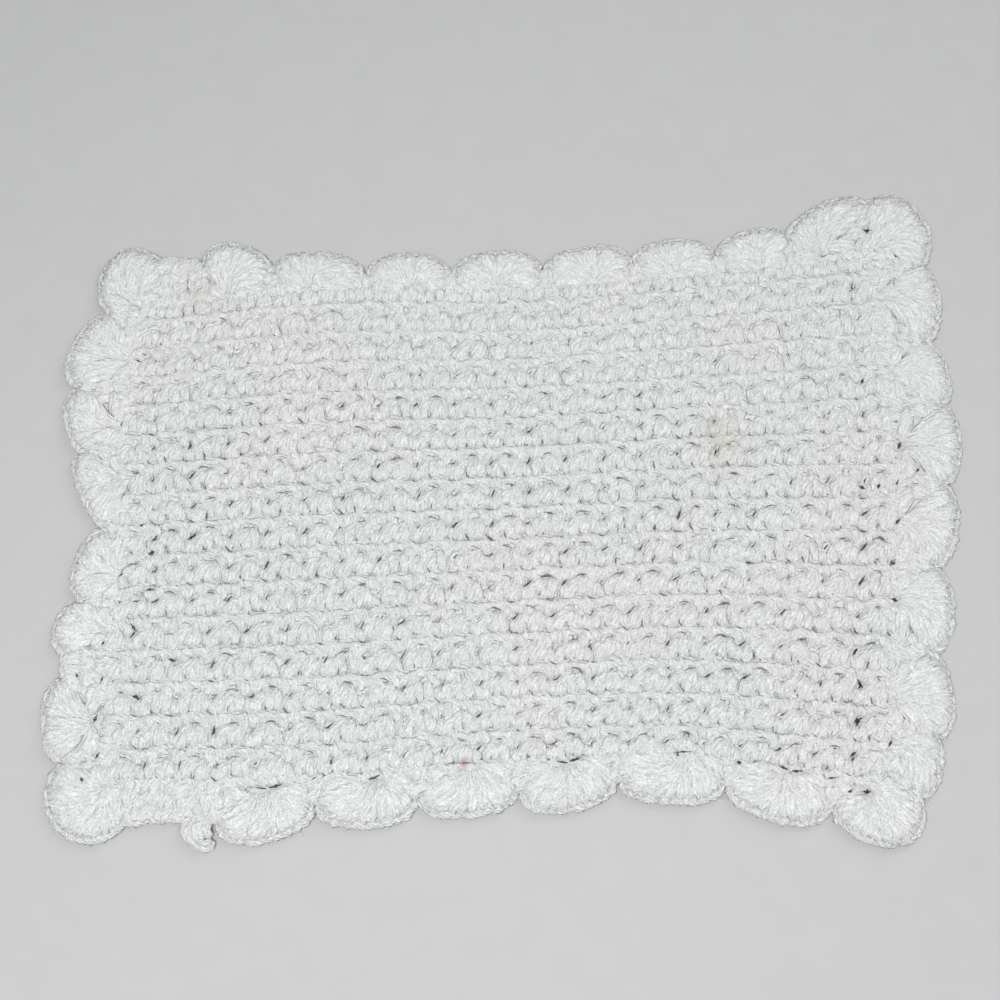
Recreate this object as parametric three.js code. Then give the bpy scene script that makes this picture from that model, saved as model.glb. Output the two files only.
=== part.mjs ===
// Crochet placemat: a thick cotton ground worked in rows, a round of fan shells worked all round it,
// and the small looped end where the round was fastened off.
//
// Millimetres. +X runs along the length, +Y runs away from the near edge, +Z is up.
// The origin is under the middle of the mat, on the surface that the mat lies on.

import * as THREE from 'three';
import { mergeVertices } from 'three/addons/utils/BufferGeometryUtils.js';

// ---- Driving sizes -------------------------------------------------------------------------------

const MIDDLE = { x: 0.2, y: -0.8 };   // the middle of the mat in the tables below; the origin goes under it

const SEAM_GAP = 0.5;          // clear line between the ground and the edging round, before faceting
const GROUND_THICKNESS = 5.4;  // mean height of the ground's stitches
const ROWS = 31;               // rows of stitches from the near edge to the far edge
const ROW_RELIEF = 0.45;       // how far a ridge row stands over the furrow row beside it
const EASE_RELIEF = 0.3;       // slow unevenness of a cloth that has been washed and used
const STEPS_PER_ROW = 2;
const STEPS_ACROSS = 14;

const SEAM_HEIGHT = 5.0;       // top of the edging where it is worked into the ground
const BAND_HEIGHT = 5.4;       // top of the edging between two shells
const SHELL_CROWN = 7.2;       // top of a shell's fan
const RIM_HEIGHT = 5.6;        // top of the chain of loops round a shell's rim
const RIM_ROUND = 2.2;         // radius of that chain
const SHELL_STEPS = 9;         // facets round one shell
const LOW_STEPS = 3;           // facets along a stretch without a shell
const LOW_RISE = 3;            // a stretch that rises less than this is no shell
const SHELL_FULLNESS = 0.92;   // below 1 makes a shell's shoulders squarer than a half ellipse's

// ---- The ground's four edges, in order round the mat ----------------------------------------------
// corner: where the edge starts. bow: how far the edge stands out of the straight line to the next
// corner, at a quarter, a half and three quarters of its length.

const EDGES = [
  { side: 'near',  corner: [-185, -137], bow: [-1, -8, -10] },
  { side: 'right', corner: [168, -136],  bow: [11, 12, 8] },
  { side: 'far',   corner: [186, 132],   bow: [-4, -4, 3] },
  { side: 'left',  corner: [-187, 102],  bow: [6, 2, 4] },
];

// ---- The edging round -----------------------------------------------------------------------------
// One row for each shell or low stretch, in the same order round the mat. x and y: the notch that it
// starts from. rise: how far it stands out of the straight line to the next notch. lean: how far its
// highest point sits past the middle of that line, as a share of the line.

const ROUND = {
  near: [
    { x: -176, y: -157, rise: 1.5, lean: 0 },
    { x: -164, y: -154, rise: 2.5, lean: 0 },
    { x: -150, y: -153, rise: 0,   lean: 0 },
    { x: -135, y: -157, rise: 12,  lean: -0.05 },
    { x: -90,  y: -149, rise: 11,  lean: 0.07 },
    { x: -43,  y: -146, rise: 9,   lean: -0.06 },
    { x: 4,    y: -143, rise: 11,  lean: -0.08 },
    { x: 49,   y: -138, rise: 9,   lean: 0.08 },
    { x: 99,   y: -139, rise: 12,  lean: 0.08 },
    { x: 147,  y: -149, rise: 20,  lean: 0.14 },
  ],
  right: [
    { x: 190, y: -145, rise: 6,  lean: 0.05 },
    { x: 198, y: -117, rise: 10, lean: -0.09 },
    { x: 200, y: -77,  rise: 10, lean: 0 },
    { x: 205, y: -35,  rise: 9,  lean: 0.05 },
    { x: 213, y: 7,    rise: 9,  lean: 0.02 },
    { x: 216, y: 49,   rise: 7,  lean: -0.08 },
    { x: 211, y: 83,   rise: 9,  lean: 0.06 },
    { x: 211, y: 125,  rise: 20, lean: 0.07 },
  ],
  far: [
    { x: 185,  y: 162, rise: 10, lean: -0.03 },
    { x: 144,  y: 141, rise: 10, lean: -0.09 },
    { x: 106,  y: 132, rise: 11, lean: -0.02 },
    { x: 63,   y: 128, rise: 11, lean: -0.08 },
    { x: 17,   y: 124, rise: 12, lean: -0.05 },
    { x: -30,  y: 121, rise: 12, lean: -0.03 },
    { x: -74,  y: 121, rise: 12, lean: 0.07 },
    { x: -122, y: 123, rise: 13, lean: 0.14 },
    { x: -157, y: 128, rise: 2,  lean: 0 },
    { x: -178, y: 129, rise: 19, lean: -0.12 },
  ],
  left: [
    { x: -203, y: 98,   rise: 12, lean: 0.05 },
    { x: -216, y: 58,   rise: 8,  lean: -0.1 },
    { x: -210, y: 24,   rise: 8,  lean: -0.2 },
    { x: -196, y: -15,  rise: 11, lean: 0.06 },
    { x: -203, y: -53,  rise: 10, lean: 0.12 },
    { x: -212, y: -77,  rise: 1,  lean: 0 },
    { x: -212, y: -89,  rise: 9,  lean: 0 },
    { x: -209, y: -128, rise: 22, lean: 0.02 },
  ],
};

// ---- The looped end: sections from the edging outwards --------------------------------------------

// x and y: the middle of the low stretch that the loop grows out of. out and shift: how far each section
// lies from that stretch, and along it.

const END_LOOP = { x: -142.6, y: -155.4, turn: -0.26 };
const END_LOOP_SECTIONS = [
  { out: 0,   shift: 0,   width: 12,   height: 5.0 },
  { out: 1.8, shift: 0.6, width: 14,   height: 6.0 },
  { out: 4.2, shift: 1.8, width: 14,   height: 6.6 },
  { out: 6.4, shift: 3.2, width: 11.4, height: 6.0 },
  { out: 8.4, shift: 4.4, width: 11,   height: 6.2 },
  { out: 10,  shift: 5.4, width: 8.4,  height: 5.0 },
  { out: 11,  shift: 6,   width: 4,    height: 3.2 },
];
const END_LOOP_SIDES = 10;

// ---- Materials ------------------------------------------------------------------------------------

const COTTON = { color: 0xeeeeec, roughness: 0.92, metalness: 0 };
const cottonMaterial = () => new THREE.MeshStandardMaterial(COTTON);

// ---- Helpers --------------------------------------------------------------------------------------

// A closed, merged mesh from points and the corners of its triangles.
function closedGeometry(points, index) {
  const geometry = new THREE.BufferGeometry();
  geometry.setAttribute('position', new THREE.Float32BufferAttribute(points.flat(), 3));
  geometry.setIndex(index);
  const merged = mergeVertices(geometry, 1e-4);
  merged.computeVertexNormals();
  return merged;
}

// The triangles that join a ring of points to the next ring, each of count points.
function joinRings(index, here, next, count) {
  for (let j = 0; j < count; j += 1) {
    const k = (j + 1) % count;
    index.push(here + j, next + j, next + k);
    index.push(here + j, next + k, here + k);
  }
}

// Rings of points joined into a tube that closes on itself.
function skinLoop(rings) {
  const count = rings[0].length;
  const index = [];
  rings.forEach((ring, i) => joinRings(index, i * count, ((i + 1) % rings.length) * count, count));
  return closedGeometry(rings.flat(), index);
}

// Rings of points joined in a row, with both end rings capped.
function skinLoft(rings) {
  const count = rings[0].length;
  const index = [];
  const end = (rings.length - 1) * count;
  for (let i = 0; i < rings.length - 1; i += 1) {
    joinRings(index, i * count, (i + 1) * count, count);
  }
  for (let j = 1; j < count - 1; j += 1) {
    index.push(0, j, j + 1);
    index.push(end, end + j + 1, end + j);
  }
  return closedGeometry(rings.flat(), index);
}

// A sheet from two grids of points, one over the other, walled round its edge. Each strip across the
// sheet is a ring: along the underside and back along the top, so only the end walls are added.
function skinSheet(under, top) {
  const across = under[0].length;
  const count = 2 * across;
  const rings = under.map((row, i) => [...row, ...[...top[i]].reverse()]);
  const index = [];
  for (let i = 0; i < rings.length - 1; i += 1) {
    joinRings(index, i * count, (i + 1) * count, count);
  }
  const end = (rings.length - 1) * count;
  for (let j = 0; j < across - 1; j += 1) {
    const over = count - 1 - j;
    index.push(j, j + 1, over - 1, j, over - 1, over);
    index.push(end + j, end + over, end + over - 1, end + j, end + over - 1, end + j + 1);
  }
  return closedGeometry(rings.flat(), index);
}

const mix = THREE.MathUtils.lerp;

// The ground's outline as four smooth curves, moved inwards by inset.
function groundEdges(inset) {
  const middle = new THREE.Vector2();
  const corners = EDGES.map(({ corner }) => {
    const [x, y] = corner;
    return new THREE.Vector2(x - Math.sign(x - middle.x) * inset, y - Math.sign(y - middle.y) * inset);
  });
  return EDGES.map(({ bow }, i) => {
    const start = corners[i];
    const end = corners[(i + 1) % corners.length];
    const along = end.clone().sub(start);
    const out = new THREE.Vector2(along.y, -along.x).normalize();
    const stations = [0, ...bow, 0].map((stand, k) => (
      start.clone().addScaledVector(along, k / 4).addScaledVector(out, stand)
    ));
    return new THREE.SplineCurve(stations);
  });
}

// Slow hollows and swells of the used cloth, from -1 to 1.
function ease(x, y) {
  return 0.5 * Math.sin(x / 61 + y / 93) + 0.5 * Math.sin(x / 37 - y / 48 + 1.3);
}

// ---- Ground: a sheet stretched between its four edges, ridged along its rows -----------------------

function groundGeometry() {
  const [near, right, far, left] = groundEdges(SEAM_GAP / 2);
  const c00 = near.getPoint(0);
  const c10 = near.getPoint(1);
  const c11 = far.getPoint(0);
  const c01 = far.getPoint(1);

  // The point at share u of the length and share v of the depth, between all four edges.
  const place = (u, v) => {
    const n = near.getPointAt(u);
    const f = far.getPointAt(1 - u);
    const l = left.getPointAt(1 - v);
    const r = right.getPointAt(v);
    const axis = (key) => mix(n[key], f[key], v) + mix(l[key], r[key], u)
      - mix(mix(c00[key], c10[key], u), mix(c01[key], c11[key], u), v);
    return [axis('x'), axis('y')];
  };

  const down = ROWS * STEPS_PER_ROW;
  const top = [];
  const under = [];
  for (let i = 0; i <= down; i += 1) {
    const v = i / down;
    const ridge = 0.5 * ROW_RELIEF * Math.cos(Math.PI * ROWS * v);
    const strip = [];
    for (let j = 0; j <= STEPS_ACROSS; j += 1) {
      strip.push(place(j / STEPS_ACROSS, v));
    }
    top.push(strip.map(([x, y]) => [x, y, GROUND_THICKNESS + ridge + EASE_RELIEF * ease(x, y)]));
    under.push(strip.map(([x, y]) => [x, y, 0]));
  }
  return skinSheet(under, top);
}

// ---- Edging: one ring, from the ground's edge out to the rims of the shells ------------------------

// The notches in order, each with its place p round the ground: 0 to 1 along the near edge, 1 to 2
// along the right edge, and so on.
function roundTable() {
  const keepOff = 0.02;
  return EDGES.flatMap(({ side }, i) => {
    const [x0, y0] = EDGES[i].corner;
    const [x1, y1] = EDGES[(i + 1) % EDGES.length].corner;
    const lengthSquared = (x1 - x0) ** 2 + (y1 - y0) ** 2;
    return ROUND[side].map((row) => {
      const share = ((row.x - x0) * (x1 - x0) + (row.y - y0) * (y1 - y0)) / lengthSquared;
      return { ...row, p: i + THREE.MathUtils.clamp(share, keepOff, 1 - keepOff) };
    });
  });
}

function edgingGeometry() {
  const edges = groundEdges(-SEAM_GAP / 2);
  const table = roundTable();
  const sides = EDGES.length;
  const inner = (p) => edges[Math.floor(p) % sides].getPointAt(p - Math.floor(p));
  const rings = [];

  table.forEach((shell, i) => {
    const next = table[(i + 1) % table.length];
    const nextP = next.p < shell.p ? next.p + sides : next.p;
    const corner = Math.floor(nextP) > Math.floor(shell.p) ? Math.floor(nextP) : null;
    const start = new THREE.Vector2(shell.x, shell.y);
    const chord = new THREE.Vector2(next.x, next.y).sub(start);
    const out = new THREE.Vector2(chord.y, -chord.x).normalize();
    const isShell = shell.rise > LOW_RISE;
    const steps = isShell ? SHELL_STEPS + (corner === null ? 0 : 1) : LOW_STEPS;

    for (let k = 0; k < steps; k += 1) {
      const t = k / steps;
      const swing = Math.sin(Math.PI * t);
      const along = 0.5 - 0.5 * Math.cos(Math.PI * t) + shell.lean * swing * swing;
      const rim = start.clone().addScaledVector(chord, along)
        .addScaledVector(out, shell.rise * swing ** SHELL_FULLNESS);
      let p = mix(shell.p, nextP, along);
      if (corner !== null) {
        p = t < 0.5 ? mix(shell.p, corner, 2 * t) : mix(corner, nextP, 2 * t - 1);
      }
      const seat = inner(p);
      const reach = rim.distanceTo(seat);
      const puff = isShell ? Math.sqrt(swing) : 0;
      const crown = mix(BAND_HEIGHT, SHELL_CROWN, puff) + EASE_RELIEF * ease(rim.x, rim.y);
      const section = [
        { share: 0, height: 0 },
        { share: 1 - 0.5 * RIM_ROUND / reach, height: 0 },
        { share: 1, height: RIM_ROUND },
        { share: 1 - 0.35 * RIM_ROUND / reach, height: RIM_HEIGHT - 0.5 * RIM_ROUND },
        { share: 1 - 1.3 * RIM_ROUND / reach, height: RIM_HEIGHT },
        { share: 0.62, height: crown },
        { share: 0.3, height: mix(SEAM_HEIGHT, crown, 0.6) },
        { share: 0, height: SEAM_HEIGHT },
      ];
      rings.push(section.map(({ share, height }) => [
        mix(seat.x, rim.x, share), mix(seat.y, rim.y, share), height,
      ]));
    }
  });
  return skinLoop(rings);
}

// ---- Looped end: flat underneath, rounded on top, waisted where the knot sits ----------------------

function endLoopGeometry() {
  const rings = END_LOOP_SECTIONS.map(({ out, shift, width, height }) => {
    const section = [];
    for (let k = 0; k <= END_LOOP_SIDES; k += 1) {
      const angle = Math.PI * (1 - k / END_LOOP_SIDES);
      const x = shift + 0.5 * width * Math.cos(angle);
      section.push([x, -out, height * Math.sin(angle) ** 0.7]);
    }
    return section;
  });
  return skinLoft(rings);
}

// ---- Assembly -------------------------------------------------------------------------------------

function namedMesh(name, geometry) {
  const mesh = new THREE.Mesh(geometry, cottonMaterial());
  mesh.name = name;
  return mesh;
}

const placemat = new THREE.Group();
placemat.name = 'crochet_placemat';
placemat.position.set(-MIDDLE.x, -MIDDLE.y, 0);

placemat.add(namedMesh('ground', groundGeometry()));
placemat.add(namedMesh('edging', edgingGeometry()));

const endLoop = namedMesh('end_loop', endLoopGeometry());
endLoop.position.set(END_LOOP.x, END_LOOP.y, 0);
endLoop.rotation.z = END_LOOP.turn;
placemat.add(endLoop);

export default placemat;
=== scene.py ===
"""Crochet placemat of thick white cotton yarn.

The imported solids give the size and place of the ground, the edging round and the looped end. This
script dresses each of them in its yarn: strands worked in double rows over the ground, fans, wraps and
a chained rim on every shell, the knotted end, and the loose fibres of a washed cotton.

Lengths in the tables are millimetres in the table frame of the mat, whose middle is MIDDLE.
"""

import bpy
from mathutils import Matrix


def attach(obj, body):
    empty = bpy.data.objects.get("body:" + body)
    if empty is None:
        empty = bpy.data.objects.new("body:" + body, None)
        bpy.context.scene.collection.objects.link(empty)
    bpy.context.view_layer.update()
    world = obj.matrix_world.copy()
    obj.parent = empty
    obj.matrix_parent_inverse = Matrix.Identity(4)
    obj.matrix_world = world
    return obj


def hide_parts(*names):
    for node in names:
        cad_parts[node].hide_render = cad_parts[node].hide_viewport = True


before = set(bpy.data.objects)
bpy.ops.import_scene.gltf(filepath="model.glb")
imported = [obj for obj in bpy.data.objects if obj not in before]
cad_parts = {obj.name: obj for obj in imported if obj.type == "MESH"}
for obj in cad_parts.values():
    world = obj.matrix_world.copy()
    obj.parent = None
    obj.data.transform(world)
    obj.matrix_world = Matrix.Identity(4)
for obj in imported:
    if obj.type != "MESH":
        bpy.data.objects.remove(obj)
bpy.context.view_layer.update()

from collections import namedtuple
from functools import partial

import bpy
import numpy as np
from mathutils import Vector

bl_info = {
    "name": "Crochet placemat",
    "version": (1, 0, 0),
    "blender": (4, 5, 0),
    "location": "3D View > Sidebar > Placemat",
    "description": "Builds a crochet placemat of cotton yarn round its packed solids",
    "category": "Add Mesh",
}

MM = 0.001
BODY = "root"
MIDDLE = np.array([0.2, -0.8, 0.0])

# ---- The ground's four edges and the edging round --------------------------------------------------

# These are the solids' own edges and stretches. Two shells are fitted closer here: the far left corner
# stands 2.5 further out, and the fifth shell of the left side, at -203, -53, doesn't lean.
#
# corner: where the edge starts. bow: how far the edge stands out of the straight line to the next
# corner, at a quarter, a half and three quarters of its length.
Edge = namedtuple("Edge", "side corner bow")
EDGES = (
    Edge("near", (-185, -137), (-1, -8, -10)),
    Edge("right", (168, -136), (11, 12, 8)),
    Edge("far", (186, 132), (-4, -4, 3)),
    Edge("left", (-187, 102), (6, 2, 4)),
)

# One row for each shell or low stretch: the notch that it starts from, how far it stands out of the
# line to the next notch, how far its highest point leans along that line, as a share of it, and how
# wide its base opens where the fan comes up through the ground's edge.
Stretch = namedtuple("Stretch", "side x y rise lean slit")
ROUND = (
    Stretch("near", -176, -157, 1.5, 0, 0),
    Stretch("near", -164, -154, 2.5, 0, 0),
    Stretch("near", -150, -153, 0, 0, 0),
    Stretch("near", -135, -157, 12, -0.05, 14),
    Stretch("near", -90, -149, 11, 0.07, 9),
    Stretch("near", -43, -146, 9, -0.06, 12),
    Stretch("near", 4, -143, 11, -0.08, 13),
    Stretch("near", 49, -138, 9, 0.08, 11),
    Stretch("near", 99, -139, 12, 0.08, 12),
    Stretch("near", 147, -149, 20, 0.14, 5),
    Stretch("right", 190, -145, 6, 0.05, 3),
    Stretch("right", 198, -117, 10, -0.09, 4),
    Stretch("right", 200, -77, 10, 0, 4),
    Stretch("right", 205, -35, 9, 0.05, 4),
    Stretch("right", 213, 7, 9, 0.02, 4),
    Stretch("right", 216, 49, 7, -0.08, 4),
    Stretch("right", 211, 83, 9, 0.06, 4),
    Stretch("right", 211, 125, 20, 0.07, 5),
    Stretch("far", 185, 162, 10, -0.03, 5),
    Stretch("far", 144, 141, 10, -0.09, 5),
    Stretch("far", 106, 132, 11, -0.02, 6),
    Stretch("far", 63, 128, 11, -0.08, 6),
    Stretch("far", 17, 124, 12, -0.05, 6),
    Stretch("far", -30, 121, 12, -0.03, 6),
    Stretch("far", -74, 121, 12, 0.07, 6),
    Stretch("far", -122, 123, 13, 0.14, 5),
    Stretch("far", -157, 128, 2, 0, 0),
    Stretch("far", -178, 129, 21.5, -0.12, 5),
    Stretch("left", -203, 98, 12, 0.05, 4),
    Stretch("left", -216, 58, 8, -0.1, 4),
    Stretch("left", -210, 24, 8, -0.2, 4),
    Stretch("left", -196, -15, 11, 0.06, 4),
    Stretch("left", -203, -53, 10, 0.0, 4),
    Stretch("left", -212, -77, 1, 0, 0),
    Stretch("left", -212, -89, 9, 0, 5),
    Stretch("left", -209, -128, 22, 0.02, 5),
)
SHELL_FULLNESS = 0.92  # below 1 makes a shell's shoulders squarer than a half ellipse's
LOW_RISE = 3.0         # a stretch that rises less than this is no shell
CORNER_SHARE = 0.02    # a stretch starts at least this share of an edge away from its corners
BASE_REACH = 8.0       # the fan of a shell comes up at a hole that is nearer than this to its foot

# ---- The ground's stitches -------------------------------------------------------------------------

REPEATS = 20.7         # repeats of two stitches along the ground
FIRST_REPEAT = 0.315   # share of a repeat between the left edge and the first dome
DOUBLE_ROWS = 15.5     # a row of posts and a row of loops each
REPEAT_MM = 18.3       # about the length of a repeat, and the depth of a double row
DOUBLE_ROW_MM = 15.5

# How far the stitches of each double row, from the near edge, sit to the right of the one lattice, in
# twentieths of the ground's length: at the left end of the row, and at its right end.
DRIFT_REPEATS = 20.0
Drift = namedtuple("Drift", "left right")
DRIFTS = (
    Drift(0.1, 0.15), Drift(-0.05, 0.12), Drift(-0.05, 0), Drift(-0.12, -0.2),
    Drift(-0.25, -0.22), Drift(0.25, -0.2), Drift(0.12, -0.1), Drift(0.05, -0.05),
    Drift(0.03, 0), Drift(0, 0), Drift(0.03, 0.05), Drift(0.05, 0.1),
    Drift(0.1, 0.2), Drift(0.08, 0.22), Drift(0.05, 0.25), Drift(0.05, 0.25),
)

# The strands of one repeat. A point is (across, away, height): shares of a repeat and of a double row
# from the foot of the dome, and millimetres for the middle of the yarn over the table.
Strand = namedtuple("Strand", "name width points")
POSTS = (
    Strand("dome_flank", 5.8, ((-0.21, 0.16, 3.1), (-0.2, 0.34, 4.0), (-0.17, 0.52, 3.9), (-0.09, 0.67, 3))),
    Strand("dome_near", 6.3, ((0.03, 0.00, 3.5), (0.00, 0.20, 4.6), (-0.05, 0.46, 4.0), (-0.02, 0.72, 2.7))),
    Strand("dome_far", 6.3, ((0.27, 0.01, 3.5), (0.24, 0.22, 4.5), (0.17, 0.46, 4.0), (0.08, 0.70, 2.7))),
    Strand("tooth_left", 6.2, ((0.56, -0.05, 3.4), (0.52, 0.12, 4.5), (0.45, 0.30, 4.1), (0.39, 0.46, 3.1))),
    Strand("tooth_right", 6.2, ((0.78, -0.01, 3.4), (0.73, 0.18, 4.5), (0.67, 0.36, 4.1), (0.76, 0.60, 3.0))),
)
LOOPS = (
    Strand("lens", 5.8, ((-0.36, 0.83, 3.1), (-0.14, 0.91, 4.2), (0.16, 0.93, 4.2), (0.44, 0.83, 3.1))),
    Strand("lap", 5.2, ((0.10, 1.00, 3.1), (0.28, 0.96, 4.0), (0.42, 0.88, 4.1), (0.55, 0.76, 3.1))),
    Strand("shoulder", 5.7, ((0.38, 0.96, 3.1), (0.56, 0.87, 4.2), (0.67, 0.75, 4.2), (0.71, 0.56, 3.1))),
)
KNOTS = (
    Strand("hook", 5.5, ((0.62, 0.96, 3.1), (0.78, 0.90, 4.1), (0.87, 0.77, 4.1), (0.85, 0.58, 3.1))),
    Strand("knot", 5.0, ((0.43, 0.84, 3.1), (0.49, 0.77, 4.1), (0.53, 0.69, 4.1), (0.52, 0.60, 3.1))),
    Strand("sling", 5.3, ((0.14, 0.85, 3.1), (0.28, 0.74, 4.2), (0.39, 0.62, 4.2), (0.38, 0.46, 3.1))),
)

# Where the yarn parts in each repeat. across and away: the middle of the opening. turn: the way it
# runs, in degrees from across. length, width: millimetres. bend: how fast it curves down to both sides.
# stray: how far it moves about, in millimetres. open: how far it opens. dark: how dark its painted shade is,
# and how far it sinks the strands, from 0 to 1.
Slit = namedtuple("Slit", "across away turn length width bend stray open dark")
SLITS = (
    Slit(0.535, 0.48, 52, 5.6, 1.5, 0.0, 0.5, 1.05, 0.95),
    Slit(-0.115, 0.07, 98, 5.0, 1.1, 0.0, 0.6, 1.0, 0.85),
    Slit(0.44, -0.03, -28, 5.6, 1.2, 0.08, 1.4, 1.0, 0.85),
    Slit(-0.02, 0.73, 2, 8.0, 1.1, -0.09, 1.5, 1.0, 0.75),
    Slit(0.20, -0.02, 0, 6.5, 0.9, 0.05, 1.2, 0.9, 0.5),
)

# Holes between the strands, in the edging round and at the sides of the ground, in the table frame. The
# yarn sinks there, and shade is painted dark on it. turn is in degrees from +X.
Hole = namedtuple("Hole", "x y turn length width")
HOLES = (
    Hole(-114.5, -139.9, -5, 8, 1), Hole(-108, -139, 14, 9, 1.5), Hole(-63, -135.3, 22, 7, 1.3),
    Hole(-21, -128.6, 0, 17, 0.5), Hole(24, -128, -8, 7, 1.2), Hole(29.5, -127, 18, 9, 1.5),
    Hole(80, -123.6, 2, 12, 0.8), Hole(126, -130.6, -22, 7, 1.4), Hole(132, -132.2, 0, 8, 1.6),
    Hole(-90, -135.4, 30, 4.5, 0.6), Hole(105.5, -128.5, 0, 2.8, 2.2), Hole(113, -127.8, 15, 4, 0.8),
    Hole(148, -135.4, 8, 5, 1), Hole(156, -141.4, 27, 3.2, 1.6), Hole(164, -141.5, -7, 4.6, 2.4),
    Hole(176, -119.5, 60, 4.8, 1.5), Hole(187, -68.6, 88, 5, 0.5), Hole(183.5, -51, -19, 4.2, 2.2),
    Hole(184, -32.5, 47, 4.2, 2.8), Hole(188, -12, 51, 5.2, 1.8), Hole(189.5, 8, 69, 3.5, 1.1),
    Hole(200, 14.5, 53, 3, 2), Hole(192, 27.5, 64, 5, 2.8), Hole(175, 113.5, 88, 5, 1.2),
    Hole(176.5, 62, 60, 3.6, 1.4), Hole(172, 5.5, -35, 5, 2.2), Hole(180, 6, 80, 4, 1.8),
    Hole(163, -76, 55, 5.6, 2.2), Hole(164.5, -91.5, -65, 5.2, 1.9), Hole(162, -108.5, 30, 6, 2.6),
    Hole(158.5, -124.5, 40, 4.8, 1.8), Hole(195.7, 114.5, 85, 4, 0.5), Hole(198, 130, -45, 4.6, 1),
    Hole(189, 139.5, 80, 4, 0.4), Hole(178.5, 138.7, 60, 4, 0.4), Hole(184.5, 145, -19, 4.6, 2.4),
    Hole(162, 131, 5, 7, 0.4), Hole(-186, 72.3, -11, 3.6, 1), Hole(-192, 38, 70, 4, 0.8),
    Hole(-188, 2, 60, 4, 0.9), Hole(-178, -14, 36, 3, 1), Hole(-172.5, -27.5, 13, 4, 2),
    Hole(-186.3, -38.3, 70, 6, 1.1), Hole(-178, -51.8, 7, 4.5, 0.9), Hole(-192, -72.5, 63, 3.2, 1),
    Hole(-192.3, -90.7, 69, 3.2, 0.5), Hole(-193.5, -107.8, 71, 4.8, 1.9), Hole(-191, -125, 51, 4, 1.3),
    Hole(-196.5, -136.7, -66, 3.6, 1.6), Hole(-175.5, -97.5, -15, 4.8, 2.4),
    Hole(-178.5, -64.5, -50, 6, 1.4), Hole(-159.5, -80, -12, 5.5, 1.6), Hole(-191.5, -89.5, 70, 5, 1.1),
    Hole(-203.5, -87.5, -60, 4, 1), Hole(-172, -46, 8, 6, 1.5),
)

# An opening ends at OPENING_EDGE times its outline. The strands sink over one that is STRAND_DENT times
# as wide, and the inner cloths over one that is CLOTH_DENT times as wide.
Dent = namedtuple("Dent", "slit hole")
OPENING_EDGE = 1.3
STRAND_DENT = Dent(1.3, 1.2)
CLOTH_DENT = Dent(1.6, 1.3)
SLIT_SINK = 2.2        # how far a strand sinks at the middle of a slit
HOLE_SINK = 1.8        # and at the middle of a hole
GROUND_SINK = 1.4      # how far the ground's inner cloth sinks
EDGING_SINK = 0.6      # and the edging's

# Between these two values of y in the table frame the rows are worked tighter and tighter, and from
# there to the far edge the slits are closed by the share TIGHTEST.
TIGHT_FROM, TIGHT_TO, TIGHTEST = 10.0, 85.0, 0.55

# Marks left on the mat by use: the middle, how far it reaches across and away, its strength and colour.
Mark = namedtuple("Mark", "x y across away strength colour")
MARKS = (
    Mark(-158, 108, 10, 13, 0.42, (0.75, 0.65, 0.44)),
    Mark(104.5, 30, 15, 19, 0.50, (0.74, 0.66, 0.46)),
    Mark(-21, -128.4, 2.8, 3.2, 0.95, (0.52, 0.12, 0.17)),
)

# ---- The looped end --------------------------------------------------------------------------------

# x and y: where it leaves the near edge. turn: in radians. Its strands' points are across, out and up.
Loose = namedtuple("Loose", "width points")
END_X, END_Y, END_TURN = -142.6, -155.4, -0.26
END_STRANDS = (
    Loose(5.8, ((-4.6, 2.4, 2.6), (-5.2, -2.6, 3.6), (-2.6, -7.2, 3.8), (2.6, -9.6, 3.0))),
    Loose(5.8, ((-1.8, 2.6, 2.8), (-2.0, -2.4, 4.6), (0.2, -5.6, 4.6), (3.4, -7.6, 3.4))),
    Loose(5.6, ((1.4, 2.6, 2.8), (1.0, -1.6, 4.6), (2.2, -4.2, 4.6), (5.0, -6.0, 3.4))),
    Loose(5.2, ((4.8, 2.6, 2.6), (3.8, -0.8, 4.4), (4.8, -3.2, 4.4), (7.6, -4.8, 3.2))),
    Loose(3.8, ((0.6, -9.0, 2.8), (4.4, -10.8, 3.8), (8.6, -9.6, 4.0), (9.4, -6.2, 3.2))),
    Loose(3.4, ((2.2, -7.0, 3.4), (4.6, -8.4, 5.0), (7.2, -7.8, 5.0), (7.8, -5.6, 3.6))),
)

# ---- Yarn ------------------------------------------------------------------------------------------

# A strand is a tube of YARN_SIDES sides with a ring at each of these shares of its length. The ends
# lists say how wide each ring is, as a share of the strand's width.
YARN_SIDES = 8
YARN_RINGS = np.array([0, 0.07, 0.25, 0.5, 0.75, 0.93, 1.0])
YARN_ENDS = np.array([0.35, 0.8, 1.0, 1.0, 1.0, 0.8, 0.35])
FAN_ENDS = np.array([0.45, 0.6, 0.8, 1.0, 1.2, 1.3, 0.9])
YARN_FLAT = 0.68       # height of a strand over its width
LUMPS = 0.10           # chance unevenness of a strand's width from ring to ring, as a share of it
SIDE_LUMPS = 0.06      # and of each point round a ring
TURN_LENGTH = 24.0     # a ply goes once round the strand in this length
FAN_TURN_LENGTH = 45.0
RIM_TURN_LENGTH = 13.0
PLIES = 6
TABLE_GAP = 0.4        # no strand comes nearer to the table than this
UNDERSIDE = 0.15       # height of the inner cloths' underside
EASE = 0.3             # height of the slow hollows and swells of the ground

# A loose fibre starts where the surface faces up by at least FIBRE_FACING. length, rise: from and to.
# bow: how far it swings aside, as a share of its length. lift: how high it starts. drop: how far its
# tip comes down. widths: its thickness, as a share of the property's.
FIBRE_SIDES, FIBRE_RINGS = 3, 5
FIBRE_FACING = 0.25
FIBRE_LENGTH = (1.5, 5.0)
FIBRE_RISE = (0.2, 0.9)
FIBRE_BOW = 0.25
FIBRE_LIFT = 0.1
FIBRE_DROP = 0.4
FIBRE_WIDTHS = (0.7, 1.3)

SEED = 20              # of the random numbers; each group of strands adds its own number


# ---- Curves ----------------------------------------------------------------------------------------


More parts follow.
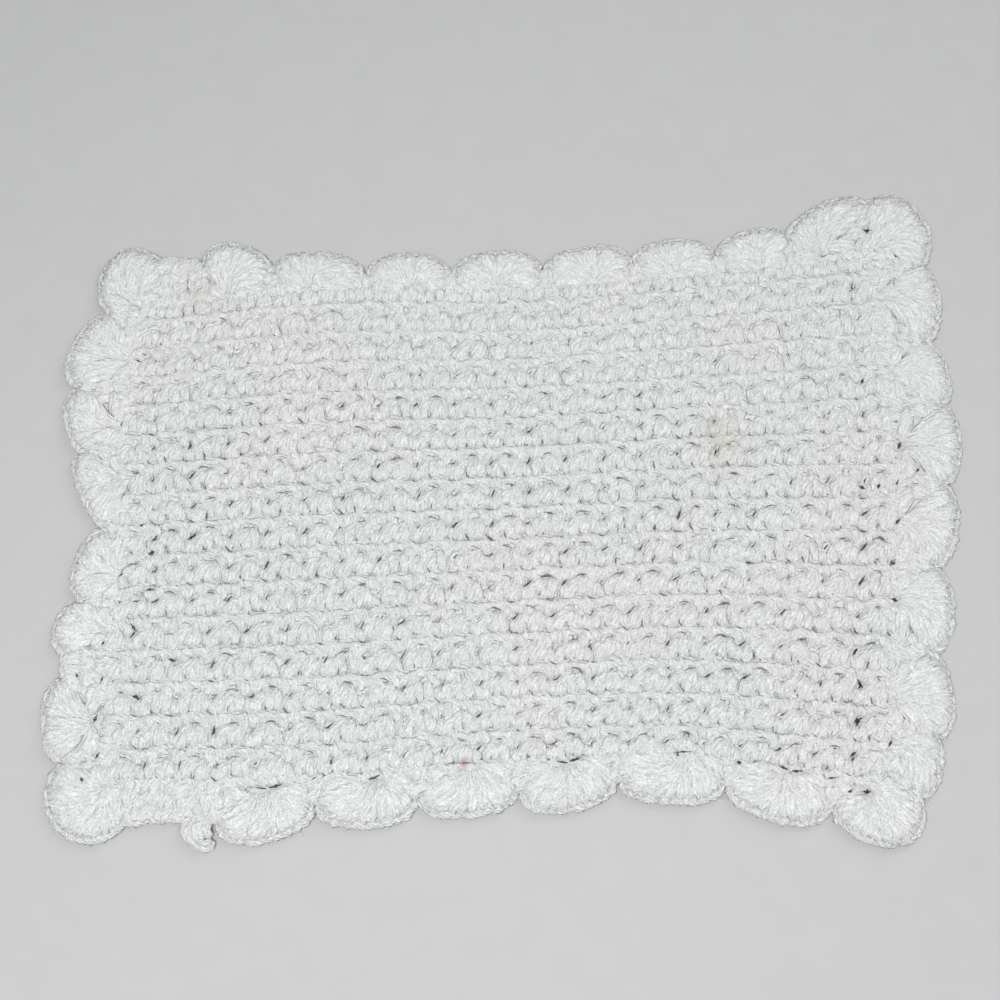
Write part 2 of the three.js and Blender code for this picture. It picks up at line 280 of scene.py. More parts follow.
def mix(here, there, share):
    """The point at a share of the way from here to there."""
    return here + (there - here) * share


def unit(vectors):
    """The vectors at length one."""
    return vectors / np.maximum(np.linalg.norm(vectors, axis=-1, keepdims=True), 1e-9)


def spline(points, shares):
    """Catmull-Rom curve through points (..., K, D) with doubled ends.

    Between two points it is the cubic that leaves and arrives at half the step between the neighbours
    of each point. shares run from 0 to 1 over equal spans.
    """
    last = points.shape[-2] - 1
    station = np.clip(shares, 0, 1) * last
    span = np.minimum(station.astype(int), last - 1)
    w = (station - span)[:, None]
    before, here, there, after = (points[..., np.clip(span + k, 0, last), :] for k in (-1, 0, 1, 2))
    leave, arrive = (there - before) / 2, (after - here) / 2
    return (
        (2 * here - 2 * there + leave + arrive) * w**3
        + (-3 * here + 3 * there - 2 * leave - arrive) * w**2
        + leave * w
        + here
    )


EDGE_POINTS = 401      # points of an edge's line


def edge_lines():
    """Each edge of the ground as a fine line, with the share of its length at every point of it."""
    lines = []
    corners = np.array([edge.corner for edge in EDGES], float)
    for i, edge in enumerate(EDGES):
        start, end = corners[i], corners[(i + 1) % len(EDGES)]
        along = end - start
        out = unit(np.array([along[1], -along[0]]))
        stands = np.array([0, *edge.bow, 0], float)[:, None]
        stations = start + along * np.linspace(0, 1, 5)[:, None] + out * stands
        line = spline(stations, np.linspace(0, 1, EDGE_POINTS))
        reach = np.r_[0, np.cumsum(np.linalg.norm(np.diff(line, axis=0), axis=1))]
        lines.append((reach / reach[-1], line))
    return lines


EDGE_LINES = edge_lines()


def edge_point(side, share):
    """The point at a share of the length of one of the ground's edges."""
    reach, line = EDGE_LINES[side]
    return np.stack([np.interp(share, reach, line[:, 0]), np.interp(share, reach, line[:, 1])], -1)


def ground_point(u, v):
    """The point at share u of the ground's length and v of its depth.

    It is the point between the near and far edges, plus the one between the left and right edges, less
    the one between the four corners.
    """
    near, right = edge_point(0, u), edge_point(1, v)
    far, left = edge_point(2, 1 - u), edge_point(3, 1 - v)
    u, v = u[..., None], v[..., None]
    c00, c10, c11, c01 = (EDGE_LINES[i][1][0] for i in range(4))
    corners = mix(mix(c00, c10, u), mix(c01, c11, u), v)
    return mix(near, far, v) + mix(left, right, u) - corners


def ease(points):
    """Slow hollows and swells of a used cloth, from -1 to 1: two crossed waves over the table."""
    x, y = points[..., 0], points[..., 1]
    return 0.5 * np.sin(x / 61 + y / 93) + 0.5 * np.sin(x / 37 - y / 48 + 1.3)


# ---- Openings between the strands ------------------------------------------------------------------


def tightness(y):
    """The share by which the slits are closed at that y of the table frame.

    It is a step from 0 to TIGHTEST, eased at both ends as a cubic.
    """
    share = np.clip((y - TIGHT_FROM) / (TIGHT_TO - TIGHT_FROM), 0, 1)
    return TIGHTEST * share * share * (3 - 2 * share)


def oval(dx, dy, shape, bend, scale):
    """How far a place lies into an oval opening of that turn, length and width, from 0 to 1.

    It falls evenly with the distance in half widths, to 0 at OPENING_EDGE times the outline. The oval
    is scale times as wide, and longer by the root of that. bend curves it as a parabola.
    """
    turn = np.radians(shape.turn)
    p = dx * np.cos(turn) + dy * np.sin(turn)
    q = dy * np.cos(turn) - dx * np.sin(turn) - bend * p**2
    far = np.hypot(2 * p / (shape.length * scale**0.5), 2 * q / (shape.width * scale))
    return np.clip(OPENING_EDGE - far, 0, 1)


def opening(across, away, scale):
    """How open the ground is at a place in its repeat and double row: the most that a slit opens it."""
    shares = [
        slit.dark * oval(
            (across - slit.across - np.round(across - slit.across)) * REPEAT_MM,
            (away - slit.away - np.round(away - slit.away)) * DOUBLE_ROW_MM, slit, slit.bend, scale)
        for slit in SLITS
    ]
    return np.max(shares, axis=0)


def hole(x, y, scale):
    """How open the yarn is at a place in the table frame: the share of the hole that opens it most."""
    return np.max([oval(x - h.x, y - h.y, h, 0.0, scale) for h in HOLES], axis=0)


def gap_numbers(places, faces):
    """For every corner of these faces, its place in the hole nearest to its face.

    The place is measured along and across the hole, in halves of its length and width, so that it lies
    one out from the middle on the outline of the hole.
    """
    x, y, turn, length, width = np.array(HOLES, float).T
    cos, sin = np.cos(np.radians(turn)), np.sin(np.radians(turn))
    middle = places[faces].mean(1)
    dx, dy = middle[:, :1] - x, middle[:, 1:] - y
    near = np.hypot((dx * cos + dy * sin) / length, (dy * cos - dx * sin) / width).argmin(1)[:, None]
    dx, dy = places[faces, 0] - x[near], places[faces, 1] - y[near]
    along = 2 * (dx * cos[near] + dy * sin[near]) / length[near]
    across = 2 * (dy * cos[near] - dx * sin[near]) / width[near]
    return np.stack([along, across], -1).reshape(-1, 2)


# ---- Shells ----------------------------------------------------------------------------------------


class Round:
    """The edging round as arrays, one row for each shell or low stretch.

    p0 and p1 say where its foot starts and ends on the ground's edges: the number of the edge plus the
    share of its length. turns is true where the foot goes round a corner. bases holds where the fan
    comes up: the hole nearest to the middle of the foot, if one is near, or else that middle.
    """

    def __init__(self):
        self.count = len(ROUND)
        self.start = np.array([(s.x, s.y) for s in ROUND], float)
        self.end = np.roll(self.start, -1, axis=0)
        self.rise = np.array([s.rise for s in ROUND], float)
        self.lean = np.array([s.lean for s in ROUND], float)
        self.slit = np.array([s.slit for s in ROUND], float)
        self.is_shell = self.rise > LOW_RISE
        sides = [edge.side for edge in EDGES]
        side = np.array([sides.index(s.side) for s in ROUND])
        corners = np.array([edge.corner for edge in EDGES], float)
        first, second = corners[side], corners[(side + 1) % len(sides)]
        along = second - first
        share = ((self.start - first) * along).sum(1) / (along**2).sum(1)
        self.p0 = side + np.clip(share, CORNER_SHARE, 1 - CORNER_SHARE)
        self.p1 = np.roll(self.p0, -1)
        self.p1[-1] += len(sides)
        self.turns = np.floor(self.p1) > np.floor(self.p0)
        chord = self.end - self.start
        self.along = unit(chord)
        self.out = unit(np.stack([chord[:, 1], -chord[:, 0]], 1))
        self.length = np.linalg.norm(chord, axis=1)
        self.bases = self.seat(np.arange(self.count), np.full(self.count, 0.5))
        holes = np.array([(h.x, h.y) for h in HOLES], float)
        away = np.linalg.norm(self.bases[:, None] - holes, axis=2)
        near = away.min(1) < BASE_REACH
        self.bases[near] = holes[away.argmin(1)[near]]

    def swing(self, k, t):
        """How far the rim has swung out at share t, from 0 to 1, and how far it has come along the chord.

        The first is the sine of half a turn. The second is half of one less its cosine, and it leans by
        the square of the first.
        """
        swing = np.sin(np.pi * np.clip(t, 0, 1))
        return swing, 0.5 - 0.5 * np.cos(np.pi * t) + self.lean[k] * swing**2

    def rim(self, k, t):
        """The outline of shell k at share t: out of the chord by rise times a power of the swing."""
        swing, along = self.swing(k, t)
        chord = (self.end - self.start)[k]
        stand = (self.rise[k] * swing**SHELL_FULLNESS)[..., None]
        return self.start[k] + chord * along[..., None] + self.out[k] * stand

    def seat(self, k, t):
        """The foot of shell k at share t, on the ground's edge, going by way of the corner if it turns."""
        _, along = self.swing(k, t)
        corner = np.floor(self.p1[k])
        bent = np.where(t < 0.5, mix(self.p0[k], corner, 2 * t), mix(corner, self.p1[k], 2 * t - 1))
        p = np.where(self.turns[k], bent, mix(self.p0[k], self.p1[k], along))
        side = np.floor(p).astype(int) % len(EDGES)
        points = np.stack([edge_point(i, p - np.floor(p)) for i in range(len(EDGES))])
        return np.take_along_axis(points, side[None, ..., None], 0)[0]


# ---- Meshes ----------------------------------------------------------------------------------------


def grid_quads(rows, columns, wrap_columns=False, wrap_rows=False):
    """Corners of the faces between neighbouring points of a grid, as point numbers row by row."""
    i = np.arange(rows if wrap_rows else rows - 1)[:, None]
    j = np.arange(columns if wrap_columns else columns - 1)[None, :]
    down, right = (i + 1) % rows, (j + 1) % columns
    corners = (i * columns + j, down * columns + j, down * columns + right, i * columns + right)
    return np.stack(np.broadcast_arrays(*corners), -1).reshape(-1, 4)


def lay_mesh(name, points, faces, material, uv=None, cells=None):
    """A smooth mesh from points in the table frame and a list of face arrays, each of one face size.

    uv holds the two texture numbers of every face corner, and cells the place of every point in the
    ground's repeats and double rows. Every face corner also gets its place in the nearest hole.
    """
    mesh = bpy.data.meshes.new(name)
    corners = np.concatenate([f.ravel() for f in faces]).astype(np.int32)
    sizes = np.concatenate([np.full(len(f), f.shape[1]) for f in faces])
    mesh.vertices.add(len(points))
    mesh.vertices.foreach_set("co", ((points - MIDDLE) * MM).astype(np.float32).ravel())
    mesh.loops.add(len(corners))
    mesh.loops.foreach_set("vertex_index", corners)
    mesh.polygons.add(len(sizes))
    mesh.polygons.foreach_set("loop_start", np.r_[0, np.cumsum(sizes)[:-1]].astype(np.int32))
    mesh.polygons.foreach_set("use_smooth", np.ones(len(sizes), bool))
    if uv is not None:
        layer = mesh.uv_layers.new(name="twist")
        layer.uv.foreach_set("vector", uv.astype(np.float32).ravel())
    if cells is not None:
        layer = mesh.uv_layers.new(name="cell")
        layer.uv.foreach_set("vector", cells[corners].astype(np.float32).ravel())
    layer = mesh.uv_layers.new(name="gap")
    gaps = np.concatenate([gap_numbers(points[:, :2], f) for f in faces])
    layer.uv.foreach_set("vector", gaps.astype(np.float32).ravel())
    mesh.update(calc_edges=True)
    mesh.validate()
    mesh.materials.append(material)
    piece = bpy.data.objects.new(name, mesh)
    bpy.context.scene.collection.objects.link(piece)
    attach(piece, BODY)
    return piece


def yarn_mesh(name, paths, widths, material, rng, cells=None, sides=YARN_SIDES, ends=YARN_ENDS,
              flat=YARN_FLAT, turn_length=TURN_LENGTH):
    """Strands of yarn as closed tubes, all in one mesh.

    A ring of a strand is an oval across its path: half the width to each side of the path, level with
    the table, and flat times that up and down, times the share in ends and a chance lumpiness. Both end
    rings are capped. The texture numbers are the share of the way round, and the turns that a ply has
    made so far. The strand sinks at the holes, and at the slits too where cells gives each path's place
    in the pattern.
    """
    count, rings, _ = paths.shape
    tangent = unit(np.gradient(paths, axis=1))
    right = unit(np.stack([tangent[..., 1], -tangent[..., 0], np.zeros((count, rings))], -1))
    up = np.cross(right, tangent)
    turn = 2 * np.pi * np.arange(sides) / sides
    radius = (0.5 * widths)[:, None] * ends * rng.normal(1, LUMPS, (count, rings))
    lumpy = radius[:, :, None] * rng.normal(1, SIDE_LUMPS, (count, rings, sides))
    rounds = (
        right[:, :, None] * np.cos(turn)[:, None] + up[:, :, None] * (flat * np.sin(turn))[:, None]
    ) * lumpy[..., None]
    points = (paths[:, :, None] + rounds).reshape(-1, 3)
    if cells is not None:
        pitch = np.array([REPEAT_MM, DOUBLE_ROW_MM])
        cells = (cells[:, :, None] + rounds[..., :2] / pitch).reshape(-1, 2)
        open_share = opening(cells[:, 0], cells[:, 1], STRAND_DENT.slit)
        points[:, 2] -= SLIT_SINK * open_share * (1 - tightness(points[:, 1]))
    open_share = hole(points[:, 0], points[:, 1], STRAND_DENT.hole)
    points[:, 2] = np.maximum(points[:, 2] - HOLE_SINK * open_share, TABLE_GAP)

    first = (np.arange(count) * rings * sides)[:, None]
    quads = grid_quads(rings, sides, wrap_columns=True)
    around = np.arange(sides)
    front = first + around
    back = first + (rings - 1) * sides + around[::-1]
    quads = (first[:, :, None] + quads[None]).reshape(-1, 4)

    steps = np.linalg.norm(np.diff(paths, axis=1), axis=2)
    gone = np.concatenate([np.zeros((count, 1)), np.cumsum(steps, 1)], 1) / turn_length
    gone = gone + rng.uniform(0, 1, (count, 1))
    u0, u1 = around / sides, (around + 1) / sides
    shape = (count, rings - 1, sides)
    here, there = gone[:, :-1, None], gone[:, 1:, None]
    corner_u = np.stack(np.broadcast_arrays(u0, u0, u1, u1), -1)
    corner_u = np.broadcast_to(corner_u, (*shape, 4))
    corner_v = np.stack([np.broadcast_to(v, shape) for v in (here, there, there, here)], -1)
    quad_uv = np.stack([corner_u, corner_v], -1).reshape(-1, 2)
    cap_uv = np.zeros((2 * count * sides, 2))
    uv = np.concatenate([quad_uv, cap_uv])
    return lay_mesh(name, points, [quads, front, back], material, uv, cells=cells)


def raised(plan, height):
    """Plan points with a height each."""
    height = np.broadcast_to(height, plan.shape[:-1])
    return np.concatenate([plan, height[..., None]], -1)


def fibre_mesh(name, pieces, yarn, material, rng):
    """Loose fibres that start anywhere on the upper side of these pieces, as thin closed tubes.

    A fibre leaves in a chance direction, bows to one side and up by half a sine wave, and comes down
    again.
    """
    places, normals = [], []
    for piece in pieces:
        mesh = piece.data
        place, normal = np.empty(3 * len(mesh.vertices)), np.empty(3 * len(mesh.vertices))
        mesh.vertices.foreach_get("co", place)
        mesh.vertices.foreach_get("normal", normal)
        places.append(place.reshape(-1, 3) / MM + MIDDLE)
        normals.append(normal.reshape(-1, 3))
    places, normals = np.concatenate(places), np.concatenate(normals)
    upper = normals[:, 2] > FIBRE_FACING
    places, normals = places[upper], normals[upper]
    pick = rng.integers(0, len(places), yarn.fibres)
    turn = rng.uniform(0, 2 * np.pi, yarn.fibres)
    ahead = np.stack([np.cos(turn), np.sin(turn)], -1)
    side = np.stack([-ahead[:, 1], ahead[:, 0]], -1)
    length = rng.uniform(*FIBRE_LENGTH, (yarn.fibres, 1))
    s = np.linspace(0, 1, FIBRE_RINGS)
    wave = np.sin(np.pi * s)
    bow = length * rng.normal(0, FIBRE_BOW, (yarn.fibres, 1))
    plan = places[pick, None, :2] + ahead[:, None] * (length * s)[..., None]
    plan = plan + side[:, None] * (bow * wave)[..., None]
    rise = rng.uniform(*FIBRE_RISE, (yarn.fibres, 1))
    height = places[pick, 2:] + FIBRE_LIFT + rise * wave - FIBRE_DROP * s**2
    widths = yarn.fibre / MM * rng.uniform(*FIBRE_WIDTHS, yarn.fibres)
    ends = np.ones(FIBRE_RINGS)
    paths = raised(plan, height)
    return yarn_mesh(name, paths, widths, material, rng, sides=FIBRE_SIDES, ends=ends, flat=1.0)


# ---- Shader maths ----------------------------------------------------------------------------------


class Wire:
    """One socket of a material, which can be used in sums: each operator adds its Math node."""

    def __init__(self, tree, socket=None):
        self.tree = tree
        self.socket = socket

    def node(self, kind, settings=None, sockets=None, out=0):
        """Adds a node of that kind. Its settings are set first, then its sockets get values or links."""
        node = self.tree.nodes.new(kind)
        for key, value in (settings or {}).items():
            if key == "stops":
                for stop, (place, colour) in zip(node.color_ramp.elements, value):
                    stop.position, stop.color = place, colour
            else:
                setattr(node, key, value)
        for key, value in (sockets or {}).items():
            if isinstance(value, Wire):
                self.tree.links.new(value.socket, node.inputs[key])
            else:
                node.inputs[key].default_value = value
        return Wire(self.tree, node.outputs[out] if len(node.outputs) else None)

    def parts(self, kind):
        """The parts of this vector or colour."""
        first = self.node("ShaderNodeSeparate" + kind, None, {0: self})
        return [Wire(self.tree, out) for out in first.socket.node.outputs]

    def math(self, operation, *others):
        """A Math node of that operation on this value and the others."""
        return self.node("ShaderNodeMath", {"operation": operation}, dict(enumerate((self, *others))))

    def __add__(self, other):
        return self.math("ADD", other)

    __radd__ = __add__

    def __sub__(self, other):
        return self.math("SUBTRACT", other)

    def __rsub__(self, other):
        return self.math("MULTIPLY_ADD", -1.0, other)

    def __mul__(self, other):
        return self.math("MULTIPLY", other)

    __rmul__ = __mul__

    def __truediv__(self, other):
        return self.math("DIVIDE", other)

    def __pow__(self, other):
        return self.math("POWER", other)

    def smooth(self, low, high):
        """From 0 at low to 1 at high, eased at both ends."""
        sockets = {"Value": self, "From Min": low, "From Max": high}
        return self.node("ShaderNodeMapRange", {"interpolation_type": "SMOOTHSTEP"}, sockets)

    def fade(self, low, high, most=1.0):
        """From most at low to 0 at high, eased at both ends."""
        return (1 - self.smooth(low, high)) * most

    def tint(self, share, colour):
        """This colour, mixed with another by a share."""
        sockets = {0: share, 6: self, 7: (*colour, 1)}
        return self.node("ShaderNodeMix", {"data_type": "RGBA"}, sockets, out=2)

    def place(self):
        """The place in the object's own frame, in metres."""
        return self.node("ShaderNodeTexCoord", out=3)

    def noise(self, grain):
        """A noise of that grain over this vector, from 0 to 1."""
        return self.node("ShaderNodeTexNoise", None, {"Vector": self, **grain._asdict()})


def new_material(name):
    """A material with one Principled shader, the wire of its tree, and that shader."""
    material = bpy.data.materials.new(name)
    material.use_nodes = True
    shader = material.node_tree.nodes["Principled BSDF"]
    return material, Wire(material.node_tree), shader


def finish(wire, shader, colour, relief, values):
    """Joins the colour and the bump to the shader, and sets the values that are the same all over."""
    wire.tree.links.new(colour.socket, shader.inputs["Base Color"])
    if relief is not None:
        wire.tree.links.new(relief.socket, shader.inputs["Normal"])
    for name, value in values.items():
        shader.inputs[name].default_value = value


# ---- Cotton ----------------------------------------------------------------------------------------

# The noises. Scale is in waves to the metre, but for FIBRES, which is in waves to its own numbers.
Grain = namedtuple("Grain", "Scale Detail Roughness", defaults=(2.0, 0.5))
TONE = Grain(9.0)                # the slow change between white and warm cotton
STAIN = Grain(240.0)             # the ragged outline of a mark
LOOSENESS = Grain(16.0, 1.0)     # where the stitches part more and less
SLIT_RAGS = Grain(900.0)         # the ragged outline of a slit
ROW_SWAY = Grain(170.0)          # how the line between rows sways and breaks
GAP_RAGS = Grain(800.0)          # the ragged outline of a hole
PLY_SWAY = Grain(260.0, 1.0)     # how the plies stray round the strand
FIBRES = Grain(1.0, 2.0, 0.6)    # the fibres along a ply
NAP = Grain(1250.0, 2.0, 0.7)    # the short fibres that stand up
LINT = Grain(330.0)              # the lumps of a washed cotton
FLOOR_GRAIN = Grain(60.0, 3.0)

TONE_BAND = (0.35, 0.65)       # of the tone noise, white below and warm above

# Each fade is (low, high, most): how dark a tint is where its number is at low, and it is gone at high.
STAIN_FADE = (0.0, 1.15)
STAIN_RAGGED = 1.2
SLIT_FADE = (0.35, 1.15)
SLIT_RAGGED = 0.8      # how far chance moves the outline of a slit, in half widths
SLIT_LEAST = 0.25      # the least that a slit opens, as a share of the most
SLIT_CORE = 0.05       # half widths that stay open where the stitches are tight
SLIT_TILT = 0.7        # a slit turns by up to half of this, in radians, either way
HOLLOW = 3.4           # how far the soft shade round a slit reaches past it, both sides together
HOLLOW_FADE = (0.0, 1.6)
HOLLOW_SHADE = 0.10    # how dark it is, as a share of the slit
LOOSE_BAND = (0.3, 0.7)        # of the looseness noise, which opens the slits by LOOSE_LEAST and up to
LOOSE_LEAST, LOOSE_MORE = 0.8, 0.4    # LOOSE_MORE more
ROW_FOOT = -0.035      # where a row's feet meet the row before, in double rows
ROW_STRAY = 0.24       # how far chance moves that line, in double rows
ROW_WAVE = 0.022       # and how far it waves with the stitches, two waves to a repeat
ROW_RAGGED = 0.9       # millimetres
ROW_FADE = (0.05, 0.42)        # millimetres
ROW_BREAKS = (0.40, 0.60)      # of the sway noise: the line is broken below and whole above
ROW_SHADE = 0.55
ROW_HOLLOW_FADE = (0.0, 2.2, 0.05)
ROW_TIGHT = 0.35       # how much of the line is gone in a tight row, times its tightness
GAP_FADE = (0.6, 1.15, 0.95)
GAP_HALO_FADE = (0.8, 3.2, 0.10)
GAP_REACH, GAP_WAIST, GAP_RAGGED = 0.85, 0.75, 1.7
# The nap, fibre and lint fades paint shade where those noises, and so their bumps, are low.
NAP_FADE = (0.40, 0.58, 0.50)
FIBRE_FADE = (0.40, 0.60, 0.40)
LINT_FADE = (0.38, 0.60, 0.10)

PLY_STRAY = 0.25       # turns that a ply strays by
PLY_SHARPNESS = 1.2    # above 1 makes the furrows wider than the ridges
FIBRES_ROUND = 15.0    # waves of fibre round the strand
FIBRES_ALONG = 6.0     # and along one turn
PLY_RELIEF, FIBRE_RELIEF, NAP_RELIEF, LINT_RELIEF = 0.42, 0.7, 0.8, 1.5
INNER_LINT_RELIEF = 1.0
RELIEF_DEPTH = 0.0012  # metres

COTTON_FINISH = {"Roughness": 0.93, "Specular IOR Level": 0.2, "Sheen Weight": 0.25, "Sheen Roughness": 0.5}
INNER_FINISH = {"Roughness": 0.95, "Specular IOR Level": 0.1}
HAIR_FINISH = {"Roughness": 0.8, "Transmission Weight": 0.3, "Sheen Weight": 0.5}


def cotton_colour(wire, look):
    """White cotton: a slow change of tone over the mat, and the marks of use on it.

    A mark fades out with the distance from its middle in its own reaches, plus a noise.
    """
    place = wire.place()
    tone = place.noise(TONE).smooth(*TONE_BAND)
    colour = wire.node("ShaderNodeMix", {"data_type": "RGBA"}, {
        0: tone, 6: (*look.cotton, 1), 7: (*look.cotton_warm, 1)}, out=2)
    patch = place.noise(STAIN)
    for mark in MARKS:
        middle = [MM * (mark.x - MIDDLE[0]), MM * (mark.y - MIDDLE[1]), 0]
        reaches = [1 / (MM * mark.across), 1 / (MM * mark.away), 0]
        off = wire.node("ShaderNodeVectorMath", {"operation": "SUBTRACT"}, {0: place, 1: middle})
        off = wire.node("ShaderNodeVectorMath", {"operation": "MULTIPLY"}, {0: off, 1: reaches})
        far = wire.node("ShaderNodeVectorMath", {"operation": "LENGTH"}, {0: off}, out=1)
        far = far + (patch - 0.5) * STAIN_RAGGED
        colour = colour.tint(far.fade(*STAIN_FADE, mark.strength * look.stains), mark.colour)
    return colour


def row_shade(place, across, away, tight, rough):
    """How deep in shade the yarn is along the feet of each double row: a wavy, broken, ragged line.

    The line strays with a noise and waves as a sine along the row. The shade fades with the distance
    from it, in millimetres, under a softer and wider one.
    """
    sway = place.noise(ROW_SWAY)
    wave = (across * (4 * np.pi)).math("SINE") * ROW_WAVE
    foot = away - ROW_FOOT + (sway - 0.5) * ROW_STRAY + wave
    beside = ((foot - foot.math("ROUND")) * DOUBLE_ROW_MM).math("ABSOLUTE")
    line = (beside + (rough - 0.5) * ROW_RAGGED).fade(*ROW_FADE, sway.smooth(*ROW_BREAKS)) * ROW_SHADE
    return line.math("MAXIMUM", beside.fade(*ROW_HOLLOW_FADE)) * (1 - tight * ROW_TIGHT)


def slit_shade(wire):
    """How deep in shade the yarn is at the slits between stitches, from 0 to 1.

    The slits are the ovals of the opening function, worked out from the cell texture numbers. Each slit
    of each repeat has chance numbers of its own, for how wide it opens, how far it strays and how it
    turns. The rows near the far edge are the tightest, and a slow noise makes other places tight too.
    """
    place = wire.place()
    across, away = wire.node("ShaderNodeUVMap", {"uv_map": "cell"}).parts("XYZ")[:2]
    rough = place.noise(SLIT_RAGS)
    tight = place.parts("XYZ")[1].smooth(TIGHT_FROM * MM, TIGHT_TO * MM) * TIGHTEST
    loose = (place.noise(LOOSENESS).smooth(*LOOSE_BAND) * LOOSE_MORE + LOOSE_LEAST) * (1 - tight)
    shade = row_shade(place, across, away, tight, rough)
    for i, slit in enumerate(SLITS):
        column = (across - slit.across).math("ROUND")
        row = (away - slit.away).math("ROUND")
        number = wire.node("ShaderNodeCombineXYZ", None, {0: column, 1: row, 2: float(i)})
        chances = wire.node("ShaderNodeTexWhiteNoise", {"noise_dimensions": "3D"}, {"Vector": number}, out=1)
        wide, stray, tilt = chances.parts("Color")
        dx = (across - slit.across - column) * REPEAT_MM + (stray - 0.5) * (2 * slit.stray)
        dy = (away - slit.away - row) * DOUBLE_ROW_MM + (tilt - 0.5) * slit.stray
        cos, sin = float(np.cos(np.radians(slit.turn))), float(np.sin(np.radians(slit.turn)))
        p = dx * cos + dy * sin
        q = dy * cos - dx * sin - p * p * slit.bend - p * (tilt - 0.5) * SLIT_TILT
        far = ((p * (2 / slit.length)) ** 2 + (q * (2 / slit.width)) ** 2).math("SQRT")
        wide = (wide * (1 - SLIT_LEAST) + SLIT_LEAST) * loose * slit.open + SLIT_CORE
        here = ((far + rough * SLIT_RAGGED - SLIT_RAGGED / 2) / wide).fade(*SLIT_FADE, slit.dark)
        beside = (p * (2 / (slit.length + HOLLOW))) ** 2 + (q * (2 / (slit.width + HOLLOW))) ** 2
        hollow = beside.fade(*HOLLOW_FADE, wide * slit.dark * HOLLOW_SHADE)
        shade = shade.math("MAXIMUM", here.math("MAXIMUM", hollow))
    return shade


def gap_shade(wire):
    """How deep in shade the yarn is in the holes, from 0 to 1.

    A hole is four-pointed: the distance from its middle plus the root of along times across, which
    draws the outline in between the points. A noise makes it ragged, and a soft halo lies round it.
    """
    along, across = wire.node("ShaderNodeUVMap", {"uv_map": "gap"}).parts("XYZ")[:2]
    reach = (along * along + across * across).math("SQRT")
    waist = (along * across).math("ABSOLUTE").math("SQRT")
    far = reach * GAP_REACH + waist * GAP_WAIST + (wire.place().noise(GAP_RAGS) - 0.5) * GAP_RAGGED
    return far.fade(*GAP_FADE).math("MAXIMUM", reach.fade(*GAP_HALO_FADE))


def paint_opening_shade(wire, colour, look, slits):
    """The colour, with shade painted dark into the holes and, where asked, into the slits and row lines of
    the ground.
    """
    colour = colour.tint(gap_shade(wire), look.depth)
    return colour.tint(slit_shade(wire), look.depth) if slits else colour


def bump(wire, look, height):
    """A bump of that height, which the look's relief makes stronger or weaker."""
    sockets = {"Strength": look.relief, "Distance": RELIEF_DEPTH, "Height": height}
    return wire.node("ShaderNodeBump", None, sockets)


def cotton_material(name, look, slits=False):
    """Cotton yarn: soft plies that wind round the strand, under a nap of short fibres.

    The ply height is a wave in plies times the share of the way round plus the turns made. Its furrows
    get a little painted shade. The fibres are a noise drawn out along the strand, and the nap and the lint
    are noises over the table; shade is painted where each of them is low.
    """
    material, wire, shader = new_material(name)
    around, gone = wire.node("ShaderNodeUVMap", {"uv_map": "twist"}).parts("XYZ")[:2]
    place = wire.place()
    wound = (around + gone + place.noise(PLY_SWAY) * PLY_STRAY) * (2 * np.pi * PLIES)
    ply = (wound.math("SINE") * 0.5 + 0.5) ** PLY_SHARPNESS
    drawn = wire.node("ShaderNodeCombineXYZ", None, {
        0: (around + gone) * FIBRES_ROUND, 1: gone * FIBRES_ALONG})
    fibre, nap, lint = drawn.noise(FIBRES), place.noise(NAP), place.noise(LINT)
    # Painted shade in the furrows between plies and in the low places of the nap, fibres and lint.
    colour = cotton_colour(wire, look).tint((1 - ply) * look.furrow, look.cotton_shade)
    for grain, fade in ((nap, NAP_FADE), (fibre, FIBRE_FADE), (lint, LINT_FADE)):
        colour = colour.tint(grain.fade(*fade), look.cotton_shade)
    height = ply * PLY_RELIEF + fibre * FIBRE_RELIEF + nap * NAP_RELIEF + lint * LINT_RELIEF
    colour = paint_opening_shade(wire, colour, look, slits)
    finish(wire, shader, colour, bump(wire, look, height), COTTON_FINISH)
    return material


def backing_material(name, look, painted_shade_share, slits=False):
    """The inner yarn that shows between strands: the same cotton with shade painted over it, and painted dark
    in the openings.
    """
    material, wire, shader = new_material(name)
    nap, lint = wire.place().noise(NAP), wire.place().noise(LINT)
    # Painted shade: the inner yarn lies under the strands, so its colour is darkened.
    colour = cotton_colour(wire, look).tint(painted_shade_share, look.cotton_shade)
    colour = paint_opening_shade(wire, colour.tint(nap.fade(*NAP_FADE), look.cotton_shade), look, slits)
    height = nap * NAP_RELIEF + lint * INNER_LINT_RELIEF
    finish(wire, shader, colour, bump(wire, look, height), INNER_FINISH)
    return material


def hair_material(name, look):
    """Loose fibres: plain white cotton that lets some light through."""
    material, _, shader = new_material(name)
    for key, value in {"Base Color": (*look.cotton, 1), **HAIR_FINISH}.items():
        shader.inputs[key].default_value = value
    return material


MATERIALS = {
    "cotton_yarn": cotton_material,
    "stitch_yarn": partial(cotton_material, slits=True),
    # The inner cloths are shaded copies of the cotton, with painted shade for lying under the strands.
    "inner_yarn": partial(backing_material, painted_shade_share=0.60),
    "inner_stitches": partial(backing_material, painted_shade_share=0.35, slits=True),
    "loose_fibre": hair_material,
}


def material_named(name, look):
    """The material of that name, made the first time that it is asked for."""
    return bpy.data.materials.get(name) or MATERIALS[name](name, look=look)


# ---- Properties ------------------------------------------------------------------------------------


